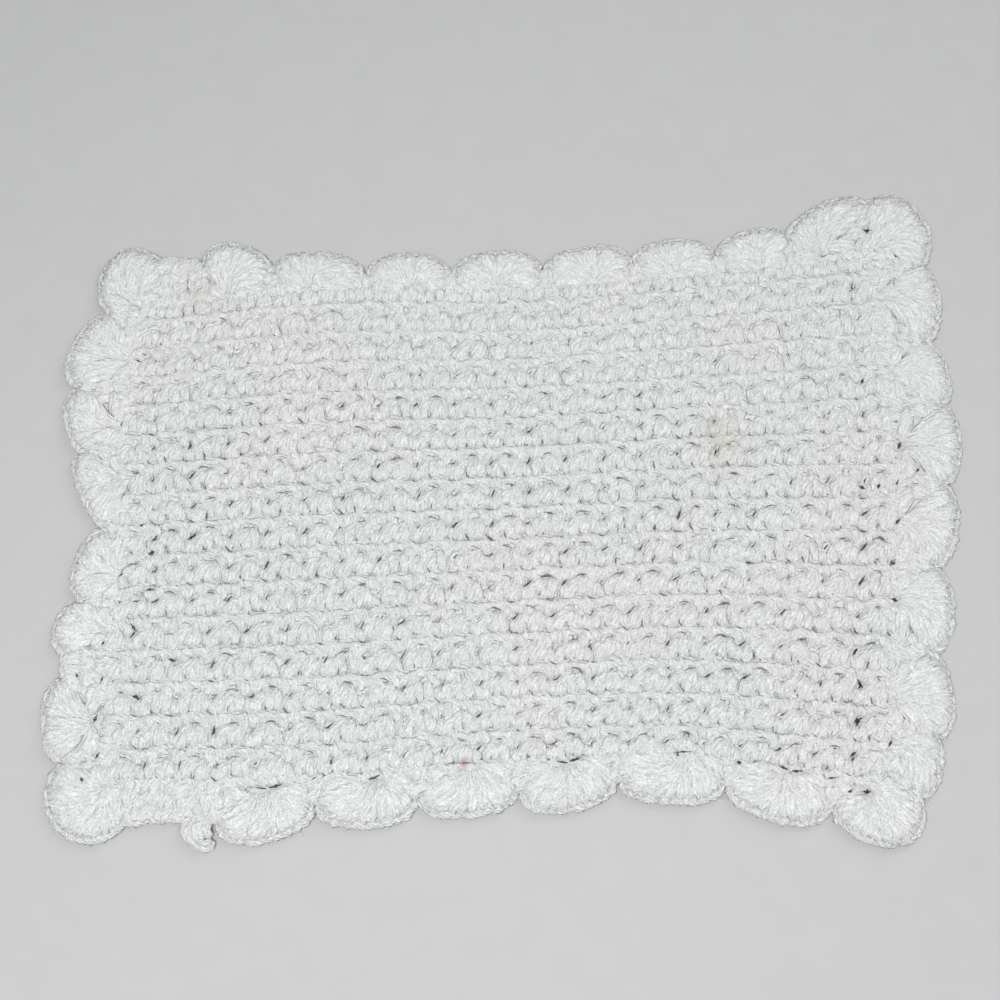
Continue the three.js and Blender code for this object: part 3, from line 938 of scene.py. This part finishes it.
class PlacematYarn(bpy.types.PropertyGroup):
    """Sizes of the yarn and how evenly it was worked."""

    thickness: bpy.props.FloatProperty(
        name="Thickness", description="Width of a strand of the ground over the width in its table",
        default=1.0, min=0.5, max=1.4)
    unevenness: bpy.props.FloatProperty(
        name="Unevenness", description="How far a strand of the ground strays from its place, in millimetres",
        default=0.7, min=0.0, max=2.0)
    backing_height: bpy.props.FloatProperty(
        name="Backing height", description="Top of the inner yarn under the ground's strands",
        default=0.0040, min=0.001, max=0.006, unit="LENGTH")
    fibres: bpy.props.IntProperty(
        name="Loose fibres", description="Number of loose fibres on the ground, and again on the edging",
        default=2200, min=0)
    fibre: bpy.props.FloatProperty(
        name="Fibre", description="Thickness of a loose fibre", default=0.00014, min=0.00005, unit="LENGTH")


class PlacematLook(bpy.types.PropertyGroup):
    """Colours and finish of the cotton."""

    cotton: bpy.props.FloatVectorProperty(
        name="Cotton", description="Colour of the yarn", default=(0.93, 0.955, 0.945), subtype="COLOR")
    cotton_warm: bpy.props.FloatVectorProperty(
        name="Warm cotton", description="Colour of the yarn where it has yellowed",
        default=(0.943, 0.947, 0.93), subtype="COLOR")
    # Painted shade: the colour painted into the furrows between plies, the low places of the fibres, nap and
    # lint, and over the inner cloths under the strands.
    cotton_shade: bpy.props.FloatVectorProperty(
        name="Furrow", description="Colour between plies and fibres",
        default=(0.50, 0.50, 0.50), subtype="COLOR")
    # Painted shade: the near-black colour painted into the holes, slits and row lines, where the openings are
    # only shade.
    depth: bpy.props.FloatVectorProperty(
        name="Depth", description="Colour in the gaps between strands",
        default=(0.02, 0.02, 0.022), subtype="COLOR")
    # How much painted shade the furrows between plies get.
    furrow: bpy.props.FloatProperty(
        name="Furrow share", description="How much darker the plies are where they meet",
        default=0.26, min=0, max=1)
    relief: bpy.props.FloatProperty(
        name="Relief", description="Strength of the yarn's fine relief", default=0.8, min=0, max=2)
    stains: bpy.props.FloatProperty(
        name="Marks of use", description="Strength of the marks", default=1.0, min=0, max=1)


# ---- The ground ------------------------------------------------------------------------------------

CLOTH_ROWS, CLOTH_COLUMNS = 187, 166   # points of the inner cloth, away and across
CLOTH_INSET = 0.004    # share of the ground that it stays inside the four edges

# How chance moves the strands. strand: one move for a whole strand. point: one for each of its points.
# height: up and down. All in millimetres, but times the unevenness for the ground's strands. width: a
# share of the strand's own.
Stray = namedtuple("Stray", "strand point height width")
STITCH_STRAY = Stray(0.7, 0.6, 0.18, 0.06)
PAST_EDGE = 0.002      # share of the ground by which a stitch may pass its edges
DEPTH_KEPT = (0.0065, 0.9935)          # shares of the depth that the stitches keep between


def sheet_faces(rows, columns):
    """Faces of a closed sheet whose top grid comes first and its underside second."""
    top = grid_quads(rows, columns)[:, ::-1]
    under = grid_quads(rows, columns) + rows * columns
    i, j = np.arange(rows - 1), np.arange(columns - 1)
    sides = []
    for first, second in (
        (i * columns, (i + 1) * columns),
        ((i + 1) * columns + columns - 1, i * columns + columns - 1),
        (j + 1, j),
        ((rows - 1) * columns + j, (rows - 1) * columns + j + 1),
    ):
        sides.append(np.stack([first, first + rows * columns, second + rows * columns, second], -1))
    return [np.concatenate([top, under, *sides])]


def drifted(u, v):
    """How far the stitches at a place drift to the right, in twentieths of the ground's length."""
    rows = np.arange(len(DRIFTS)) + 0.5
    left, right = (np.interp(v * DOUBLE_ROWS, rows, side) for side in np.array(DRIFTS, float).T)
    return mix(left, right, u)


def ground_cloth(yarn, look):
    """The inner yarn of the ground: a closed sheet between the four edges, sunk at the openings."""
    inset = (CLOTH_INSET, 1 - CLOTH_INSET)
    u, v = np.meshgrid(np.linspace(*inset, CLOTH_COLUMNS), np.linspace(*inset, CLOTH_ROWS))
    plan = ground_point(u, v)
    across = (u - drifted(u, v) / DRIFT_REPEATS) * REPEATS - FIRST_REPEAT
    open_share = opening(across, v * DOUBLE_ROWS, CLOTH_DENT.slit) * (1 - tightness(plan[..., 1]))
    open_share = np.maximum(open_share, hole(plan[..., 0], plan[..., 1], CLOTH_DENT.hole))
    cells = np.stack([across, v * DOUBLE_ROWS], -1).reshape(-1, 2)
    top = raised(plan, yarn.backing_height / MM + EASE * ease(plan) - GROUND_SINK * open_share)
    points = np.concatenate([top.reshape(-1, 3), raised(plan, UNDERSIDE).reshape(-1, 3)])
    cells = np.concatenate([cells, np.broadcast_to(cells[0], cells.shape)])
    faces = sheet_faces(CLOTH_ROWS, CLOTH_COLUMNS)
    return lay_mesh("ground_cloth", points, faces, material_named("inner_stitches", look), cells=cells)


def lattice_paths(strands, yarn, rng):
    """The paths of these strands in every repeat of every double row, and their widths.

    A strand's points are moved to their repeat and row, shifted by the row's drift, laid on the ground by
    its four edges, given a small chance move and joined by a spline.
    """
    table = np.array([s.points for s in strands], float)
    widths = np.array([s.width for s in strands], float)
    drifts = np.array(DRIFTS, float)
    numbers = np.arange(len(DRIFTS)), np.arange(-1, int(REPEATS) + 1), np.arange(len(strands))
    row, repeat, kind = (grid.ravel() for grid in np.meshgrid(*numbers, indexing="ij"))
    across = repeat[:, None] + table[kind, :, 0]
    away = row[:, None] + table[kind, :, 1]
    start = (across + FIRST_REPEAT) / REPEATS
    drift = mix(drifts[row, 0][:, None], drifts[row, 1][:, None], start)
    u, v = start + drift / DRIFT_REPEATS, away / DOUBLE_ROWS
    middle_u, middle_v = u[:, 1:3].mean(1), v[:, 1:3].mean(1)
    inside = (middle_u > 0) & (middle_u < 1) & (middle_v > -PAST_EDGE) & (middle_v < 1 + PAST_EDGE)
    u, v, kind = u[inside], v[inside], kind[inside]
    count = len(u)
    stray = rng.normal(0, STITCH_STRAY.strand, (count, 1, 2))
    stray = yarn.unevenness * (stray + rng.normal(0, STITCH_STRAY.point, (count, 4, 2)))
    plan = ground_point(np.clip(u, -PAST_EDGE, 1 + PAST_EDGE), np.clip(v, *DEPTH_KEPT)) + stray
    height = table[kind, :, 2] + rng.normal(0, STITCH_STRAY.height, (count, 1)) + EASE * ease(plan)
    wide = widths[kind] * yarn.thickness * rng.normal(1, STITCH_STRAY.width, count)
    cell = np.stack([across, away], -1)[inside] + stray / (REPEAT_MM, DOUBLE_ROW_MM)
    return spline(raised(plan, height), YARN_RINGS), wide, spline(cell, YARN_RINGS)


# ---- The edging's inner cloth ----------------------------------------------------------------------

RING_STEPS = 24        # sections for each shell or low stretch
RING_TOP_POINTS = 14   # points of a section over its top, and where it starts, as a share of its reach
RING_START = 0.02
RING_FLANK = 0.9       # it leaves the table at this share of its reach
RING_LIP = 0.9         # height of its outer end
RING_SEAM = 1.8        # height at which it meets the ground
RING_BAND = 3.2        # height of the top at the rims and of the band between shells
RING_CROWN = 1.3       # how much higher it is over the middle of a shell
RING_SLOPE = 0.8       # half waves to its whole reach: it climbs over half of one, then stays level
RING_SHORT = 2.2       # it ends this far inside the rim, which counts as at least RING_LEAST away
RING_LEAST = 4.0
RING_TOP = 2.0         # openings sink it only where it is higher than this


def ring_cloth(look, around):
    """The inner yarn of the edging: one closed ring of sections from the ground's edge to the rims.

    A section runs out along the table, round the rim's foot, and back over the shell's crown, which
    swells with the square root of the swing.
    """
    k, t = np.meshgrid(np.arange(around.count), np.arange(RING_STEPS) / RING_STEPS, indexing="ij")
    k, t = k.ravel(), t.ravel()
    seat, rim = around.seat(k, t), around.rim(k, t)
    swing, _ = around.swing(k, t)
    puff = np.where(around.is_shell[k], np.sqrt(np.maximum(swing, 0)), 0)
    reach = np.linalg.norm(rim - seat, axis=1)
    edge = (1 - RING_SHORT / np.maximum(reach, RING_LEAST))[:, None]
    crown = RING_CROWN * puff[:, None]
    back = np.linspace(1, RING_START, RING_TOP_POINTS)
    shares = edge * np.concatenate([[RING_START, RING_FLANK, 1.0], back])
    up = RING_BAND + crown * np.sin(np.pi * np.clip(RING_SLOPE * back, 0, 0.5))
    up[:, 0] = RING_SEAM
    foot = np.broadcast_to([UNDERSIDE, UNDERSIDE, RING_LIP], (len(k), 3))
    heights = np.concatenate([foot, up], 1)
    plan = mix(seat[:, None], rim[:, None], shares[..., None])
    open_share = hole(plan[..., 0], plan[..., 1], CLOTH_DENT.hole) * (heights > RING_TOP)
    points = raised(plan, heights - EDGING_SINK * open_share).reshape(-1, 3)
    faces = [grid_quads(*heights.shape, wrap_columns=True, wrap_rows=True)]
    return lay_mesh("edging_cloth", points, faces, material_named("inner_yarn", look))


# ---- The shells' fans ------------------------------------------------------------------------------

FAN_STRANDS = 15       # of a shell along an edge
CORNER_STRANDS = 23    # of a corner's shell, which turns further
FOLD_STRANDS = 5       # of each that run to the folds beside the shell, and not to its rim
FOLD_REACH = 0.7       # the last of them ends at this share of the way from rim to edge
FAN_WIDTH = 5.2
FAN_WIDENING = 0.3     # the outermost strands are wider by this share
FAN_SLIT = 5.0         # the least width of the slit that a fan comes up through
FAN_START = 0.4        # how far outside the middle of the slit it starts
FAN_SHORT = 2.6        # a strand ends this far inside the rim
FAN_PUSH = 0.42        # share of its way out that a strand goes straight out first
FAN_LEAST_OUT = 5.0    # the way out counts as at least this
FAN_FOOT = 3.1         # height of a strand's foot
FAN_CROWN = 2.3        # how much higher the crown is
FAN_DROOP = 1.2        # how much lower the outermost strands' crown is, with the fourth power of spread
FAN_WAVE = (0.66, 0.06)        # the strand's length and start in half waves of its crown
FAN_SINK = 2.0         # how deep a strand's start is sunk, and with what power of the way that ends
FAN_SINK_POWER = 12
FAN_STRAY = Stray(0.55, 0.25, 0.15, 0.10)


def fan_paths(around, rng):
    """Strands that fan out of each shell's base.

    They come up side by side through the slit, straight out of the edge, and bend round towards their
    own part of the rim, or of the fold beside the shell, as a curve between three points. The middle of
    a strand strays more than its ends.
    """
    paths, widths = [], []
    t = np.linspace(0, 1, len(YARN_RINGS))
    for k in np.flatnonzero(around.is_shell):
        count = CORNER_STRANDS if around.turns[k] else FAN_STRANDS
        spread = np.linspace(-1, 1, count)
        turn = 1.0 + 0.5 * FOLD_STRANDS / count
        share = spread * turn
        who = np.full(count, k)
        base = around.bases[who]
        shore = 0.5 + 0.5 * np.clip(share, -1, 1)
        rim, seat = around.rim(who, shore), around.seat(who, shore)
        past = np.clip((np.abs(share) - 1) / (turn - 1), 0, 1)[:, None]
        far = mix(rim, seat, FOLD_REACH * past)
        start = base + around.along[k] * (0.5 * max(around.slit[k], FAN_SLIT) * spread)[:, None]
        start = start + around.out[k] * FAN_START
        end = mix(base, far, 1 - FAN_SHORT / np.linalg.norm(far - base, axis=1)[:, None])
        way_out = ((end - start) * around.out[k]).sum(1)
        push = FAN_PUSH * np.maximum(way_out, FAN_LEAST_OUT)[:, None]
        bend = start + around.out[k] * push
        s = t[None, :, None]
        plan = start[:, None] * (1 - s) ** 2 + 2 * s * (1 - s) * bend[:, None] + s**2 * end[:, None]
        stray = rng.normal(0, FAN_STRAY.strand, (count, 1, 2)) * np.sin(np.pi * s)
        stray = stray + rng.normal(0, FAN_STRAY.point, (count, 1, 2))
        crown = FAN_CROWN - FAN_DROOP * spread[:, None] ** 4 + rng.normal(0, FAN_STRAY.height, (count, 1))
        wave = t * FAN_WAVE[0] + FAN_WAVE[1]
        height = FAN_FOOT + crown * np.sin(np.pi * np.clip(wave, 0, 1)) - FAN_SINK * (1 - t) ** FAN_SINK_POWER
        paths.append(raised(plan + stray, height))
        widths.append(FAN_WIDTH * (1 + FAN_WIDENING * spread**2) * rng.normal(1, FAN_STRAY.width, count))
    return np.concatenate(paths), np.concatenate(widths)


# ---- The chain round the rims ----------------------------------------------------------------------

# depth: how far inside the rim a strand's middle lies. lean: how far it leans across the chain over its
# length. length, width, height: its own. gap: from strand to strand along the rim.
Chain = namedtuple("Chain", "depth lean length width height gap")
RIM = Chain(2.9, 2.4, 9.5, 6.0, 3.1, 4.4)
WRAPS = Chain(5.0, 3.4, 7.4, 6.0, 3.9, 4.0)
RIM_POINTS = 60        # points of a rim that the chain is measured along
RIM_ENDS = 2.0         # a rim has as many strands as fit into its length less this
RIM_PAST = 1.0         # how far a strand may run past either end of its rim
RIM_BOW = 1.0          # how much lower the ends of a strand are than its middle
RIM_STRAY = Stray(0.3, 0.18, 0.15, 0.07)


def rim_paths(around, rng, chain):
    """A chain of short strands along every rim, depth inside it, each leaning across the chain."""
    paths, widths = [], []
    s = np.linspace(-0.5, 0.5, len(YARN_RINGS))
    for k in range(around.count):
        who = np.full(RIM_POINTS, k)
        line = around.rim(who, np.linspace(0, 1, RIM_POINTS))
        inward = -np.broadcast_to(around.out[k], line.shape)
        if around.is_shell[k]:
            inward = unit(around.bases[who] - line)
        reach = np.r_[0, np.cumsum(np.linalg.norm(np.diff(line, axis=0), axis=1))]
        count = max(1, int(round((reach[-1] - RIM_ENDS) / chain.gap)))
        middle = (np.arange(count) + 0.5) / count * reach[-1] + rng.normal(0, RIM_STRAY.strand, count)
        at = np.clip(middle[:, None] + chain.length * s, -RIM_PAST, reach[-1] + RIM_PAST)
        plan = np.stack([np.interp(at, reach, line[:, i]) for i in (0, 1)], -1)
        way = np.stack([np.interp(at, reach, inward[:, i]) for i in (0, 1)], -1)
        plan = plan + unit(way) * (chain.depth + chain.lean * s)[None, :, None]
        plan = plan + rng.normal(0, RIM_STRAY.point, (count, 1, 2))
        height = chain.height - RIM_BOW * (2 * s) ** 2 + rng.normal(0, RIM_STRAY.height, (count, 1))
        paths.append(raised(plan, height))
        widths.append(chain.width * rng.normal(1, RIM_STRAY.width, count))
    return np.concatenate(paths), np.concatenate(widths)


# ---- The band between the ground and the shells ----------------------------------------------------

BAND_GAP = 3.1         # from row to row along a low stretch
BAND_LEVEL = 7.0       # length of the way out that one stitch covers
BAND_HALF = (9.5, 3.0)         # half the width of a notch's rows, at the ground and at the notch
BAND_SLIP = 2.0        # one more stitch side by side for each of this half width
BAND_NARROWING = 0.6   # the outer end of a row over its inner end
BAND_REACH = 0.92      # share of the way out that the rows cover
BAND_BEFORE, BAND_PAST = 2.4, 0.8      # how far a stitch starts before its part of the way, and ends past it
BAND_LEAN = 1.6        # how far chance leans a stitch
BAND_FOOT, BAND_CROWN = 3.0, 1.3       # height of its ends, and how much higher its middle is
BAND_WIDTH = 5.8
BAND_STRAY = Stray(0.5, 0, 0.2, 0.10)


def band_paths(around, rng):
    """Rows of short stitches from the ground's edge out to the notches, and along the low stretches.

    The rows get narrower towards a notch, and a longer way has more rows. A stitch is straight in plan
    and half a sine wave in height.
    """
    paths = []
    s = np.linspace(0, 1, len(YARN_RINGS))
    for k in range(around.count):
        places = np.array([0.0])
        if not around.is_shell[k]:
            count = max(2, int(round(around.length[k] / BAND_GAP)))
            places = (np.arange(count) + 0.5) / count
        for t in places:
            seat, rim = around.seat(k, t), around.rim(k, t)
            reach = np.linalg.norm(rim - seat)
            ahead = (rim - seat) / reach
            side = np.array([ahead[1], -ahead[0]])
            levels = max(1, int(round(reach / BAND_LEVEL)))
            for level in range(levels):
                half = mix(*BAND_HALF, level / levels) if t == 0.0 else 0.0
                slips = side * np.linspace(-half, half, int(half / BAND_SLIP) + 1)[:, None]
                lean = side * rng.normal(0, BAND_LEAN, (len(slips), 1))
                inner, outer = (BAND_REACH * reach * (level + i) / levels for i in (0, 1))
                start = seat + ahead * (inner - BAND_BEFORE) + slips - lean
                end = seat + ahead * (outer + BAND_PAST) + slips * BAND_NARROWING + lean
                plan = mix(start[:, None], end[:, None], s[:, None])
                plan = plan + rng.normal(0, BAND_STRAY.strand, (len(slips), 1, 2))
                bow = BAND_CROWN * np.sin(np.pi * s) + rng.normal(0, BAND_STRAY.height, (len(slips), 1))
                paths.append(raised(plan, BAND_FOOT + bow))
    paths = np.concatenate(paths)
    return paths, BAND_WIDTH * rng.normal(1, BAND_STRAY.width, len(paths))


# ---- The seam --------------------------------------------------------------------------------------

# gap: from stitch to stitch. ahead and out: how far a stitch runs to both sides of its middle, along
# the edge and away from the ground. shift: how far outside the edge that middle lies.
Seam = namedtuple("Seam", "gap ahead out shift")
RUNNING = Seam(4.8, 4.0, 1.3, 0.6)     # a chain that runs with the edge
OVER = Seam(4.4, 0.9, 5.2, -1.0)       # loops that run out over the edge, at the ends of the rows
SEAMS = {"near": RUNNING, "right": OVER, "far": RUNNING, "left": OVER}
SEAM_HEIGHT, SEAM_BOW = 4.0, 1.0       # height of a stitch's middle, and how much lower its ends are
SEAM_WIDTH = 5.2
SEAM_STEP = 0.002      # share of an edge to both sides of a stitch that its direction is taken over
SEAM_STRAY = Stray(0.4, 0, 0.15, 0.10)


def seam_paths(rng):
    """Strands over the ground's edge, each straight in plan and a parabola in height.

    Along the near and far edges they are a chain that runs with the edge, each strand leaning a little
    across it. At the row ends, on the left and right edges, they are loops that run out over the edge.
    """
    paths = []
    s = np.linspace(-1, 1, len(YARN_RINGS))[None, :, None]
    for side, edge in enumerate(EDGES):
        seam = SEAMS[edge.side]
        total = np.linalg.norm(np.diff(EDGE_LINES[side][1], axis=0), axis=1).sum()
        count = int(total / seam.gap)
        share = (np.arange(count) + 0.5) / count
        ahead = unit(edge_point(side, share + SEAM_STEP) - edge_point(side, share - SEAM_STEP))
        out = np.stack([ahead[:, 1], -ahead[:, 0]], 1)
        step = ahead[:, None] * (seam.ahead * s) + out[:, None] * (seam.out * s + seam.shift)
        plan = edge_point(side, share)[:, None] + step + rng.normal(0, SEAM_STRAY.strand, (count, 1, 2))
        height = SEAM_HEIGHT - SEAM_BOW * s[..., 0] ** 2 + rng.normal(0, SEAM_STRAY.height, (count, 1))
        paths.append(raised(plan, height))
    paths = np.concatenate(paths)
    return paths, SEAM_WIDTH * rng.normal(1, SEAM_STRAY.width, len(paths))


def chance(group):
    """The random numbers of one group of strands, the same on every run."""
    return np.random.default_rng(SEED + group)


# ---- Operators -------------------------------------------------------------------------------------


class PLACEMAT_OT_ground(bpy.types.Operator):
    """Lays the inner cloth of the ground and the strands worked over it"""

    bl_idname = "placemat.ground"
    bl_label = "Ground"

    def execute(self, context):
        yarn, look = context.scene.placemat_yarn, context.scene.placemat_look
        cloth = ground_cloth(yarn, look)
        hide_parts("ground")
        pieces = []
        layers = {"ground_posts": POSTS, "ground_loops": LOOPS, "ground_knots": KNOTS}
        for group, (name, strands) in enumerate(layers.items()):
            rng = chance(group)
            paths, widths, cells = lattice_paths(strands, yarn, rng)
            pieces.append(yarn_mesh(name, paths, widths, material_named("stitch_yarn", look), rng, cells))
        fibre = material_named("loose_fibre", look)
        pieces.append(fibre_mesh("ground_fibres", pieces, yarn, fibre, chance(5)))
        return {"FINISHED"}


class PLACEMAT_OT_edging(bpy.types.Operator):
    """Lays the inner cloth of the edging round and the strands of its shells"""

    bl_idname = "placemat.edging"
    bl_label = "Edging"

    def execute(self, context):
        yarn, look = context.scene.placemat_yarn, context.scene.placemat_look
        around = Round()
        cloth = ring_cloth(look, around)
        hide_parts("edging")
        material = material_named("cotton_yarn", look)
        rng = chance(10)
        rim = {"turn_length": RIM_TURN_LENGTH}
        fan = {"turn_length": FAN_TURN_LENGTH, "ends": FAN_ENDS}
        pieces = [
            yarn_mesh("shell_fans", *fan_paths(around, rng), material, rng, **fan),
            yarn_mesh("shell_rims", *rim_paths(around, rng, RIM), material, rng, **rim),
            yarn_mesh("shell_wraps", *rim_paths(around, rng, WRAPS), material, rng, **rim),
            yarn_mesh("edging_posts", *band_paths(around, rng), material, rng),
            yarn_mesh("seam_stitches", *seam_paths(rng), material, rng),
        ]
        fibre = material_named("loose_fibre", look)
        pieces.append(fibre_mesh("edging_fibres", pieces, yarn, fibre, chance(15)))
        return {"FINISHED"}


class PLACEMAT_OT_end_loop(bpy.types.Operator):
    """Knots the end of the yarn that hangs off the near edge"""

    bl_idname = "placemat.end_loop"
    bl_label = "Looped end"

    def execute(self, context):
        look = context.scene.placemat_look
        cos, sin = np.cos(END_TURN), np.sin(END_TURN)
        points = np.array([strand.points for strand in END_STRANDS])
        points[..., :2] = points[..., :2] @ np.array([[cos, sin], [-sin, cos]]) + (END_X, END_Y)
        widths = np.array([strand.width for strand in END_STRANDS])
        yarn = material_named("cotton_yarn", look)
        piece = yarn_mesh("end_loop_yarn", spline(points, YARN_RINGS), widths, yarn, chance(20))
        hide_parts("end_loop")
        return {"FINISHED"}


# The stage, in metres and watts.
FLOOR_HALF = 3.0
FLOOR_TONES = ((0.47, 0.47, 0.465, 1), (0.50, 0.50, 0.495, 1))
FLOOR_FINISH = {"Roughness": 0.8}
ROOM_COLOUR, ROOM_STRENGTH = (0.93, 0.96, 1.0, 1), 0.298
Lamp = namedtuple("Lamp", "name place size power")
LAMPS = (Lamp("key", (-0.12, -0.40, 1.25), 0.40, 14.75), Lamp("fill", (0.9, 0.7, 1.1), 1.2, 6.42))
TARGET = Vector((-0.00494, 0.00151, 0.0))      # what the lamps and the camera look at
CAMERA_WAY = Vector((0, -0.30902, 0.95106))    # from the target to the camera: 72 degrees over the table
CAMERA_DISTANCE = 0.760
CAMERA_LENS, CAMERA_SENSOR = 55.8, 36.0        # millimetres
CAMERA_NEAR = 0.01


def look_from(name, data, place):
    """Links an object of that data, which stands at that place and looks at the target."""
    item = bpy.data.objects.new(name, data)
    item.location = place
    item.rotation_mode = "QUATERNION"
    item.rotation_quaternion = (item.location - TARGET).to_track_quat("Z", "Y")
    bpy.context.scene.collection.objects.link(item)
    return item


class PLACEMAT_OT_stage(bpy.types.Operator):
    """Sets the floor, the lights and the camera"""

    bl_idname = "placemat.stage"
    bl_label = "Stage"

    def execute(self, context):
        scene = context.scene
        material, wire, shader = new_material("pale_floor")
        tones = {0: wire.place().noise(FLOOR_GRAIN), 6: FLOOR_TONES[0], 7: FLOOR_TONES[1]}
        tone = wire.node("ShaderNodeMix", {"data_type": "RGBA"}, tones, out=2)
        finish(wire, shader, tone, None, FLOOR_FINISH)
        mesh = bpy.data.meshes.new("floor")
        corners = [(x * FLOOR_HALF, y * FLOOR_HALF, 0) for x, y in ((-1, -1), (1, -1), (1, 1), (-1, 1))]
        mesh.from_pydata(corners, [], [(0, 1, 2, 3)])
        mesh.materials.append(material)
        floor = bpy.data.objects.new("floor", mesh)
        scene.collection.objects.link(floor)

        world = bpy.data.worlds.new("soft_room")
        world.use_nodes = True
        background = world.node_tree.nodes["Background"]
        background.inputs["Color"].default_value = ROOM_COLOUR
        background.inputs["Strength"].default_value = ROOM_STRENGTH
        scene.world = world
        scene.view_settings.view_transform = "Standard"

        for lamp in LAMPS:
            data = bpy.data.lights.new(lamp.name, "AREA")
            data.shape, data.size, data.energy = "SQUARE", lamp.size, lamp.power
            look_from(lamp.name, data, lamp.place)
        data = bpy.data.cameras.new("camera")
        data.sensor_width, data.lens, data.clip_start = CAMERA_SENSOR, CAMERA_LENS, CAMERA_NEAR
        scene.camera = look_from("camera", data, TARGET + CAMERA_WAY * CAMERA_DISTANCE)
        return {"FINISHED"}


class PLACEMAT_PT_sidebar(bpy.types.Panel):
    """Lists the steps of the placemat and its sizes and colours"""

    bl_idname = "PLACEMAT_PT_sidebar"
    bl_label = "Placemat"
    bl_space_type = "VIEW_3D"
    bl_region_type = "UI"
    bl_category = "Placemat"

    def draw(self, context):
        for operator in STEPS:
            self.layout.operator(operator.bl_idname)
        for group in (context.scene.placemat_yarn, context.scene.placemat_look):
            for name in group.__annotations__:
                self.layout.prop(group, name)


STEPS = (PLACEMAT_OT_ground, PLACEMAT_OT_edging, PLACEMAT_OT_end_loop, PLACEMAT_OT_stage)
CLASSES = (PlacematYarn, PlacematLook, *STEPS, PLACEMAT_PT_sidebar)


def register():
    """Registers the classes, and gives the scene its sizes and colours."""
    for cls in CLASSES:
        bpy.utils.register_class(cls)
    bpy.types.Scene.placemat_yarn = bpy.props.PointerProperty(type=PlacematYarn)
    bpy.types.Scene.placemat_look = bpy.props.PointerProperty(type=PlacematLook)


def unregister():
    """Takes back what register did."""
    del bpy.types.Scene.placemat_yarn
    del bpy.types.Scene.placemat_look
    for cls in reversed(CLASSES):
        bpy.utils.unregister_class(cls)


def main():
    """Builds the placemat and its stage."""
    register()
    bpy.ops.placemat.ground()
    bpy.ops.placemat.edging()
    bpy.ops.placemat.end_loop()
    bpy.ops.placemat.stage()


if __name__ == "__main__":
    main()
